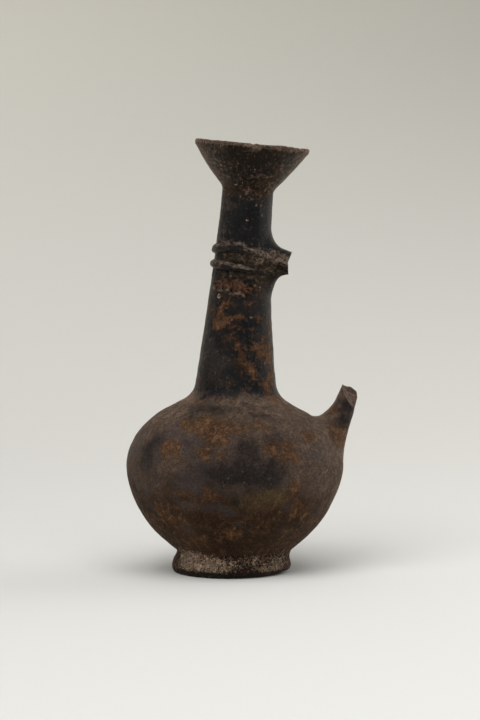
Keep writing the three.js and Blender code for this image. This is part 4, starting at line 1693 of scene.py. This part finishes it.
class ClayGroups:
    """The shader node groups that all finishes share."""

    def __init__(self) -> None:
        """Build each group once."""
        self.ragged = self.make_ragged()
        self.grain = self.make_grain()
        self.specks = self.make_specks()
        self.scratches = self.make_scratches()

    @staticmethod
    def start(name: str, inputs: tuple[str, ...],
              outputs: tuple[str, ...]) -> tuple[Chart, bpy.types.NodeOutputs, bpy.types.Node]:
        """Make an empty group with its sockets, which are numbers apart from Vector.

        Args:
            name: The group's name.
            inputs: Names of its inputs.
            outputs: Names of its outputs.

        Returns:
            The chart, what it is given, and its output node.
        """
        tree = bpy.data.node_groups.new(name, "ShaderNodeTree")
        for direction, labels in (("INPUT", inputs), ("OUTPUT", outputs)):
            for label in labels:
                kind = "NodeSocketVector" if label == "Vector" else "NodeSocketFloat"
                tree.interface.new_socket(name=label, in_out=direction, socket_type=kind)
        chart = Chart(tree)
        return chart, chart.add("NodeGroupInput").outputs, chart.add("NodeGroupOutput")

    def make_ragged(self) -> bpy.types.NodeTree:
        """A mask whose edge is broken up by noise: eased round a half, after the noise is added.

        Returns:
            The group.
        """
        chart, given, result = self.start("ragged_mask", ("Mask", "Breakup", "Spread", "Soft"),
                                          ("Mask",))
        centred = chart.math("SUBTRACT", given["Breakup"], 0.5)
        edge = chart.math("MULTIPLY_ADD", centred, given["Spread"], given["Mask"])
        low = chart.math("SUBTRACT", 0.5, given["Soft"])
        high = chart.math("ADD", 0.5, given["Soft"])
        chart.feed(result, Mask=chart.ease(edge, low, high))
        return chart.tree

    def make_grain(self) -> bpy.types.NodeTree:
        """Fired clay close up: a fine mottle, upright burnishing strokes, and small pits.

        Returns:
            The group.
        """
        chart, given, result = self.start("clay_grain", ("Vector", "Scale", "Pits", "Burnish"),
                                          ("Tone", "Strokes", "Pits", "Height"))
        place, scale = given["Vector"], given["Scale"]
        fine = chart.noise(place, scale, 6.0, 0.7)
        stretched = chart.add("Mapping", None, Vector=place, Scale=(1.0, 1.0, 0.12))
        strokes = chart.noise(stretched.outputs[0], chart.math("MULTIPLY", scale, 0.9), 3.0, 0.6)
        cells = chart.add("TexVoronoi", {"feature": "F1"}, Vector=place,
                          Scale=chart.math("MULTIPLY", scale, 1.6))
        hole = chart.ease(cells.outputs["Distance"], 0.34, 0.05)
        slow = chart.noise(place, chart.math("MULTIPLY", scale, 0.35), 3.0, 0.6)
        hole = chart.math("MULTIPLY", hole, chart.keep(slow, given["Pits"], 0.64, 0.2, 0.15))
        pits = chart.math("MULTIPLY", hole, given["Pits"])
        height = chart.math("MULTIPLY_ADD", strokes, given["Burnish"], fine)
        chart.feed(result, Tone=chart.spread(fine, 0.34, 0.66),
                   Strokes=chart.spread(strokes, 0.25, 0.75), Pits=chart.spread(pits, 0.0, 1.0),
                   Height=chart.math("SUBTRACT", height, pits))
        return chart.tree

    def make_specks(self) -> bpy.types.NodeTree:
        """Scattered pale specks: the middles of cells, kept only where a slow noise is high.

        Returns:
            The group.
        """
        chart, given, result = self.start("pale_specks", ("Vector", "Scale", "Amount"), ("Mask",))
        place, scale = given["Vector"], given["Scale"]
        bent = chart.add("TexNoise", None, Vector=place, Scale=chart.math("MULTIPLY", scale, 0.8),
                         Detail=2.0)
        moved = chart.add("VectorMath", {"operation": "MULTIPLY_ADD"}, bent.outputs["Color"],
                          (0.0012, 0.0012, 0.0012), place)
        cells = chart.add("TexVoronoi", {"feature": "F1"}, Vector=moved.outputs[0], Scale=scale)
        size = chart.add("SeparateColor", None, Color=cells.outputs["Color"])
        radius = chart.spread(size.outputs[0], 0.55, 1.0, 0.0, 0.34)
        dot = chart.ease(chart.math("SUBTRACT", radius, cells.outputs["Distance"]), 0.0, 0.08)
        slow = chart.noise(place, chart.math("MULTIPLY", scale, 0.12), 3.0, 0.6)
        kept = chart.keep(slow, given["Amount"], 0.85, 0.5, 0.08)
        chart.feed(result, Mask=chart.math("MULTIPLY", dot, kept))
        return chart.tree

    def make_scratches(self) -> bpy.types.NodeTree:
        """Short fine scratches: thin peaks of noises drawn out in two slanting directions.

        Returns:
            The group.
        """
        chart, given, result = self.start("hair_scratches", ("Vector", "Scale", "Amount"), ("Mask",))
        place, scale = given["Vector"], given["Scale"]
        lines = []
        for turned in ((0.5, 0.3, 0.4), (-0.7, 0.2, 1.9)):
            drawn = chart.add("Mapping", None, Vector=place, Rotation=turned, Scale=(1.0, 1.0, 0.06))
            lines.append(chart.ease(chart.noise(drawn.outputs[0], scale, 2.0, 0.5), 0.7, 0.76))
        slow = chart.noise(place, chart.math("MULTIPLY", scale, 0.1), 2.0, 0.5)
        kept = chart.keep(slow, given["Amount"], 0.85, 0.5, 0.1)
        chart.feed(result, Mask=chart.math("MULTIPLY", chart.math("MAXIMUM", *lines), kept))
        return chart.tree


class Texture(Enum):
    """How coarse the pattern of a weathering layer is."""

    CLOUDY = "cloudy"
    GRITTY = "gritty"
    POWDERY = "powdery"


@dataclass(frozen=True)
class LayerLook:
    """How one weathering layer is painted.

    Its tones, how ragged and how soft its edge is, how coarse its pattern is, how much it covers
    and how much it dulls the clay.
    """

    layer: Layer
    tones: Tones
    spread: float
    soft: float
    texture: Texture = Texture.CLOUDY
    cover: float = 1.0
    dulls: float = 1.0


LAYER_LOOKS: tuple[LayerLook, ...] = (
    LayerLook(Layer.BROWN, Tones((66, 53, 44), (100, 82, 69)), 2.7, 0.3, dulls=0.6),
    LayerLook(Layer.UMBER, Tones((24, 17, 11), (72, 49, 31)), 2.6, 0.34, dulls=0.7),
    LayerLook(Layer.OLIVE, Tones((56, 45, 28), (90, 73, 48)), 1.6, 0.45, cover=0.8, dulls=0.6),
    LayerLook(Layer.RUST, Tones((52, 36, 25), (116, 81, 54)), 2.8, 0.17, cover=0.8),
    # the grey tones also paint sheen on the neck, and the dark tones paint shade along the foot's bottom
    # edge
    LayerLook(Layer.SOOT, Tones((15, 13, 12), (43, 39, 38)), 2.4, 0.32, cover=0.88, dulls=0.3),
    LayerLook(Layer.SCAR, Tones((9, 7, 5), (118, 83, 63)), 2.8, 0.2, Texture.GRITTY),
    LayerLook(Layer.SOIL, Tones((18, 16, 13), (86, 72, 58)), 2.4, 0.35, Texture.GRITTY),
    # the pale tones also paint highlight on the ridges' tops and sheen at the funnel's edges
    LayerLook(Layer.WEAR, Tones((62, 49, 41), (156, 134, 116)), 3.2, 0.36, Texture.GRITTY, 0.8),
    LayerLook(Layer.LIME, Tones((104, 85, 68), (176, 152, 130)), 3.0, 0.2, Texture.POWDERY, 0.95),
    LayerLook(Layer.BREAK, Tones((60, 47, 41), (104, 85, 75)), 0.3, 0.2),
)


@dataclass(frozen=True)
class Patterns:
    """The noises that a finish varies by. Each texture has one for edges and one for tones."""

    mottled: Socket
    gritty: Socket
    crumbs: Socket
    flakes: Socket
    textures: dict[Texture, tuple[Socket, Socket]]

    @classmethod
    def lay(cls, chart: Chart, place: Socket) -> "Patterns":
        """Lay the noises out, from clouds to powder.

        Args:
            chart: The material's chart.
            place: Its coordinates, in metres.

        Returns:
            The noises.
        """
        slow = chart.noise(place, CLOUD_SCALE, 6.0, 0.62)
        coarse = chart.noise(place, STAIN_SCALE, 8.0, 0.72)
        small = chart.noise(place, GRIT_SCALE, 6.0, 0.72)
        powder = chart.noise(place, POWDER_SCALE, 4.0, 0.7)
        gritty = chart.spread(small, 0.34, 0.66)
        cloudy = chart.spread(chart.weigh(coarse, 0.5, slow), 0.36, 0.64)
        mottled = chart.weigh(gritty, 0.25, cloudy)
        crumbs = chart.weigh(small, 0.75, coarse)
        flakes = chart.ease(chart.noise(place, FLAKE_SCALE, 6.0, 0.68), 0.45, 0.55)
        return cls(mottled, gritty, crumbs, flakes, {
            Texture.CLOUDY: (chart.weigh(small, 0.3, coarse), mottled),
            Texture.GRITTY: (crumbs, gritty),
            Texture.POWDERY: (chart.weigh(powder, 0.65, small), chart.spread(powder, 0.3, 0.7)),
        })


@dataclass(frozen=True)
class ClayFinish:
    """One finish: its coat, how coarse its grain is, how shiny it is, how much it is flecked, and its
    painted sheen and dusting where it turns away.
    """

    slot: str
    coat: Tones
    speck: Colour = (172, 158, 140)
    fleck_share: float = 0.45
    pit: Colour = (24, 18, 14)
    pit_share: float = 0.75
    grain: float = 1100.0
    grain_depth: float = 0.9
    grain_share: float = 0.4
    tone_span: Span = (0.55, 1.45)
    pits: float = 0.8
    specks: float = 0.0
    scratches: float = 0.0
    burnish: float = 0.1
    gloss: float = 0.42
    dull: float = 0.85
    gloss_waver: float = 0.07
    shine: float = 0.2
    # painted sheen, partly dusting, where the surface turns away: its share, tone and falloff, and how
    # much brighter the edge is made
    dust_and_sheen: float = 0.2
    dust_and_sheen_tone: Colour = (150, 132, 114)
    sheen_power: float = 2.2
    painted_edge_sheen: float = 0.8
    flaking: float = 0.4
    lime_height: float = 0.6
    rust_height: float = 0.25
    wear_height: float = 0.3
    crumb_height: float = 2.5
    speck_height: float = 0.3
    flake_height: float = 0.5
    bump: float = 0.0007

    @staticmethod
    def weather(chart: Chart, groups: ClayGroups, patterns: Patterns,
                colour: Socket) -> tuple[Socket, Socket, dict[Layer, Socket]]:
        """Paint the weathering layers over the coat, each with its edge broken up.

        Args:
            chart: The material's chart.
            groups: The shared groups.
            patterns: The finish's noises.
            colour: The coat's colour.

        Returns:
            The colour, how dull the layers make it, and each layer's mask.
        """
        matte, masks = 0.0, {}
        for look in LAYER_LOOKS:
            edge, pattern = patterns.textures[look.texture]
            stored = chart.add("Attribute", {"attribute_name": look.layer.value})
            ragged = chart.add("Group", {"node_tree": groups.ragged}, Mask=stored.outputs["Fac"],
                               Breakup=edge, Spread=look.spread, Soft=look.soft)
            mask = chart.math("MULTIPLY", ragged.outputs["Mask"], look.cover)
            colour = chart.mix(mask, colour, chart.vary(pattern, look.tones))
            matte = chart.math("MAXIMUM", matte, chart.math("MULTIPLY", mask, look.dulls))
            masks[look.layer] = mask
        return colour, matte, masks

    def shade(self, chart: Chart, colour: Socket, tone: Socket, gritty: Socket,
              peeled: Socket) -> Socket:
        """Dust a colour where it turns away, and vary its lightness by the grain and the flakes.

        Args:
            chart: The material's chart.
            colour: The weathered colour.
            tone: The grain's tone.
            gritty: Noise that the dusting and painted sheen lie in.
            peeled: Flakes, below 0 where the surface has come off.

        Returns:
            The colour with its painted sheen and its varied lightness.
        """
        # painted sheen: edges that turn away are mixed towards a pale tone and made brighter
        facing = chart.add("LayerWeight", None, Blend=0.5).outputs["Facing"]
        edgewise = chart.math("POWER", facing, self.sheen_power)
        dust_and_sheen_share = chart.math("MULTIPLY", edgewise, chart.between(gritty, 0.0, 2 * self.dust_and_sheen))
        dust_and_sheen_mixed = chart.mix(dust_and_sheen_share, colour, self.dust_and_sheen_tone)
        lighter = chart.math("MULTIPLY_ADD", edgewise, self.painted_edge_sheen, 1.0)
        value = chart.math("MULTIPLY", chart.between(tone, *self.tone_span), lighter)
        flaky = chart.math("MULTIPLY_ADD", peeled, self.flaking, 1.0)
        return chart.add("HueSaturation", None, Color=dust_and_sheen_mixed,
                         Value=chart.math("MULTIPLY", value, flaky)).outputs[0]

    def material(self, groups: ClayGroups) -> bpy.types.Material:
        """Lay the weathering over the burnished coat, layer by layer, and paint sheen and dusting where
        it turns away.

        Args:
            groups: The shared groups.

        Returns:
            The material.
        """
        material = bpy.data.materials.new(self.slot)
        material.use_nodes = True
        chart = Chart(material.node_tree)
        place = chart.add("TexCoord").outputs["Object"]
        patterns = Patterns.lay(chart, place)
        grain = chart.add("Group", {"node_tree": groups.grain}, Vector=place, Scale=self.grain,
                          Pits=self.pits, Burnish=self.burnish).outputs
        streaks = chart.math("SUBTRACT", grain["Strokes"], patterns.mottled)
        streaky = chart.math("MULTIPLY_ADD", streaks, self.burnish, patterns.mottled)
        colour = chart.vary(streaky, self.coat)
        colour, matte, masks = self.weather(chart, groups, patterns, colour)
        specks = chart.add("Group", {"node_tree": groups.specks}, Vector=place, Scale=GRIT_SCALE,
                           Amount=self.specks).outputs["Mask"]
        scratches = chart.add("Group", {"node_tree": groups.scratches}, Vector=place,
                              Scale=SCRATCH_SCALE, Amount=self.scratches).outputs["Mask"]
        flecks = chart.math("MAXIMUM", specks, scratches)
        colour = chart.mix(chart.math("MULTIPLY", flecks, self.fleck_share), colour, self.speck)
        colour = chart.mix(chart.math("MULTIPLY", grain["Pits"], self.pit_share), colour, self.pit)
        peeled = chart.math("MULTIPLY", chart.math("SUBTRACT", patterns.flakes, 0.5), matte)
        colour = self.shade(chart, colour, grain["Tone"], patterns.gritty, peeled)
        rough = chart.math("ADD", chart.between(grain["Tone"], -self.gloss_waver, self.gloss_waver),
                           chart.between(matte, self.gloss, self.dull))
        crumbly = chart.math("MAXIMUM", masks[Layer.SCAR], masks[Layer.SOIL])
        crumbly = chart.math("MULTIPLY", crumbly, patterns.crumbs)
        height = chart.math("MULTIPLY", grain["Height"], chart.between(matte, self.grain_share, 1.0))
        for raised, step in ((masks[Layer.LIME], self.lime_height),
                             (masks[Layer.RUST], self.rust_height),
                             (masks[Layer.WEAR], self.wear_height),
                             (crumbly, self.crumb_height),
                             (specks, self.speck_height),
                             (peeled, self.flake_height)):
            height = chart.math("MULTIPLY_ADD", raised, step, height)
        bump = chart.add("Bump", None, Height=height, Strength=self.grain_depth, Distance=self.bump)
        shader = chart.add("BsdfPrincipled", None, Base_Color=colour, Roughness=rough,
                           Normal=bump.outputs[0], Specular_IOR_Level=self.shine)
        chart.add("OutputMaterial", None, Surface=shader.outputs[0])
        return material


FINISHES: tuple[ClayFinish, ...] = (
    ClayFinish("limed_clay", Tones((34, 25, 18), (62, 48, 36)), grain=700.0, grain_depth=1.0,
               pits=1.4, shine=0.05, dust_and_sheen=0.15),
    ClayFinish("belly_clay", Tones((38, 31, 30), (80, 68, 64)), grain=1700.0, pits=1.2, gloss=0.6,
               shine=0.06, dust_and_sheen=0.1, painted_edge_sheen=0.55, flaking=0.6),
    ClayFinish("neck_clay", Tones((6, 6, 7), (21, 21, 22)), burnish=0.6, gloss=0.36, shine=0.11,
               dust_and_sheen=0.12),
    # the mouth's dark coat is partly its own colour, partly painted shade of the funnel's
    # downward-facing underside
    ClayFinish("mouth_clay", Tones((9, 7, 4), (34, 26, 18)), grain=1000.0, specks=0.68,
               scratches=0.8, shine=0.06, dust_and_sheen=0.25, flaking=0.15),
    ClayFinish("strap_clay", Tones((4, 4, 5), (16, 17, 19)), burnish=0.6, gloss=0.36, shine=0.11,
               dust_and_sheen=0.12),
)


@dataclass(frozen=True)
class Lamp:
    """A softbox: where it stands and how large it is, in metres, and its power in watts."""

    name: str
    place: Triple
    width: float
    height: float
    power: float


@dataclass(frozen=True)
class Studio:
    """A pale seamless sweep, soft lamps and the camera, at the photograph's angle."""

    eye_distance: float = 950.0
    eye_height: float = 137.0
    aim_height: float = 68.96
    aim_shift: float = 1.94
    lens: float = 146.7
    sensor: float = 36.0
    # painted shade: the paper darkens up the backdrop, is brighter to the right on the near floor and
    # darker to the right up the wall
    near_pale: Colour = (232, 231, 226)
    middle_pale: Colour = (230, 228, 221)
    far_pale_shaded: Colour = (209, 205, 193)
    near_side_shade: float = 0.38
    far_side_shade: float = -0.9
    side_shade_reach: float = 0.167
    sky: Colour = (225, 228, 232)
    sky_strength: float = 0.08
    lamps: tuple[Lamp, ...] = (
        Lamp("key_box", (-0.75, -1.3, 1.1), 1.3, 1.3, 13.5),
        Lamp("front_box", (0.05, -0.9, 1.6), 1.6, 1.6, 22.0),
        Lamp("right_wall", (1.7, -0.1, 0.45), 2.4, 0.9, 4.8),
        Lamp("rear_card", (1.1, 0.55, 0.55), 1.2, 1.0, 5.7),
        Lamp("left_card", (-1.2, 0.3, 0.55), 1.0, 1.0, 0.9),
        Lamp("back_box", (0.0, 0.6, 1.5), 1.2, 1.2, 3.0),
    )

    def build_sweep(self) -> bpy.types.Object:
        """Make the floor that curves up into a backdrop.

        The surface runs along a path of floor, quarter circle and wall, and straight across. Its paper
        carries painted shade: darker up the backdrop, brighter to the right on the near floor and darker
        to the right up the wall.

        Returns:
            The sweep.
        """
        floor_start, floor_end, bend, wall = -1.6, 0.3, 1.6, 1.2
        floor = np.stack([np.linspace(floor_start, floor_end, 30), np.zeros(30)], -1)
        turn = np.linspace(0, math.pi / 2, 40)[1:]
        curve = np.stack([floor_end + bend * np.sin(turn), bend * (1 - np.cos(turn))], -1)
        rise = np.linspace(bend, bend + wall, 12)[1:]
        upright = np.stack([np.full(11, floor_end + bend), rise], -1)
        path = np.concatenate([floor, curve, upright])
        across = np.linspace(-3, 3, 25)
        points = np.empty((len(path), len(across), 3))
        points[..., 0] = across
        points[..., 1:] = path[:, None]
        rows, columns = points.shape[:2]
        index = np.arange(rows * columns).reshape(rows, columns)
        quads = np.stack([index[:-1, :-1], index[:-1, 1:], index[1:, 1:], index[1:, :-1]], -1)
        mesh = bpy.data.meshes.new("sweep")
        mesh.from_pydata(points.reshape(-1, 3), [], quads.reshape(-1, 4))
        mesh.shade_smooth()
        sweep = add_object("sweep", mesh)
        material = bpy.data.materials.new("seamless_paper_painted_shade")
        material.use_nodes = True
        chart = Chart(material.node_tree)
        place = chart.add("TexCoord").outputs["Object"]
        axes = chart.add("SeparateXYZ", None, Vector=place)
        climb = chart.math("ADD", axes.outputs["Y"], axes.outputs["Z"])
        # painted shade: darker up the backdrop, and across from left to right as set above
        colour = chart.mix(chart.ease(climb, 0.0, 0.5), self.near_pale, self.middle_pale)
        colour = chart.mix(chart.ease(climb, 0.3, 1.7), colour, self.far_pale_shaded)
        side_shade = chart.spread(climb, 0.1, 1.3, self.near_side_shade, self.far_side_shade)
        reach = self.side_shade_reach
        aside = chart.spread(axes.outputs["X"], -reach, reach, -reach, reach)
        even = chart.math("MULTIPLY_ADD", aside, side_shade, 1.0)
        colour = chart.add("HueSaturation", None, Color=colour, Value=even).outputs[0]
        shader = chart.add("BsdfPrincipled", None, Base_Color=colour, Roughness=0.9)
        chart.add("OutputMaterial", None, Surface=shader.outputs[0])
        mesh.materials.append(material)
        return sweep

    def build_lights(self, middle: Vector) -> None:
        """Set the world's soft light and the softboxes.

        Args:
            middle: The vessel's middle, to which each softbox is turned.
        """
        world = bpy.data.worlds.new("studio")
        bpy.context.scene.world = world
        world.use_nodes = True
        chart = Chart(world.node_tree)
        back = chart.add("Background", None, Color=linear(*self.sky), Strength=self.sky_strength)
        chart.add("OutputWorld", None, Surface=back.outputs[0])
        for lamp in self.lamps:
            data = bpy.data.lights.new(lamp.name, "AREA")
            data.shape = "RECTANGLE"
            data.size, data.size_y = lamp.width, lamp.height
            data.energy = lamp.power
            light = add_object(lamp.name, data)
            light.location = lamp.place
            light.rotation_euler = (middle - Vector(lamp.place)).to_track_quat("-Z", "Y").to_euler()

    def build_camera(self, axis_x: float) -> None:
        """Set the camera at rim height in front of the vessel, looking a little down.

        Args:
            axis_x: Where the belly's axis stands, in mm.
        """
        data = bpy.data.cameras.new("camera")
        data.lens, data.sensor_width = self.lens, self.sensor
        data.clip_end = 20.0
        camera = add_object("camera", data)
        side = axis_x + self.aim_shift
        eye = Vector((side, -self.eye_distance, self.eye_height)) * MM
        aim = Vector((side, 0, self.aim_height)) * MM
        camera.location = eye
        camera.rotation_euler = (aim - eye).to_track_quat("-Z", "Y").to_euler()
        bpy.context.scene.camera = camera

    def build(self, axis_x: float) -> None:
        """Build sweep, lights and camera, and the plain view transform.

        Args:
            axis_x: Where the belly's axis stands, in mm.
        """
        bpy.context.scene.view_settings.view_transform = "Standard"
        self.build_sweep()
        self.build_lights(Vector((0, 0, self.aim_height * MM)))
        self.build_camera(axis_x)


def main() -> None:
    """Build the studio and every piece of the ewer in order, and report each piece."""
    logging.basicConfig(level=logging.INFO, format="%(name)s: %(message)s")
    low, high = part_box(Half.LOWER.value)
    form = VesselForm(axis_x=(low[0] + high[0]) / 2 / MM)
    weather = Weather(form)
    groups = ClayGroups()
    finishes = {finish.slot: finish.material(groups) for finish in FINISHES}
    bench = Bench(form, StrapHandle(), weather, ClayRelief(weather), finishes)
    Studio().build(form.axis_x)
    pieces = (FootRing(), BodyBowl(Half.LOWER), BodyBowl(Half.UPPER), Neck(), FunnelMouth(),
              UPPER_RIDGE, LOWER_RIDGE, UpperRoot(), LowerRoot())
    for piece in pieces:
        dressed = piece.dress(bench)
        LOG.info("%s: %d points, %d faces", dressed.name, len(dressed.data.vertices),
                 len(dressed.data.polygons))


if __name__ == "__main__":
    main()
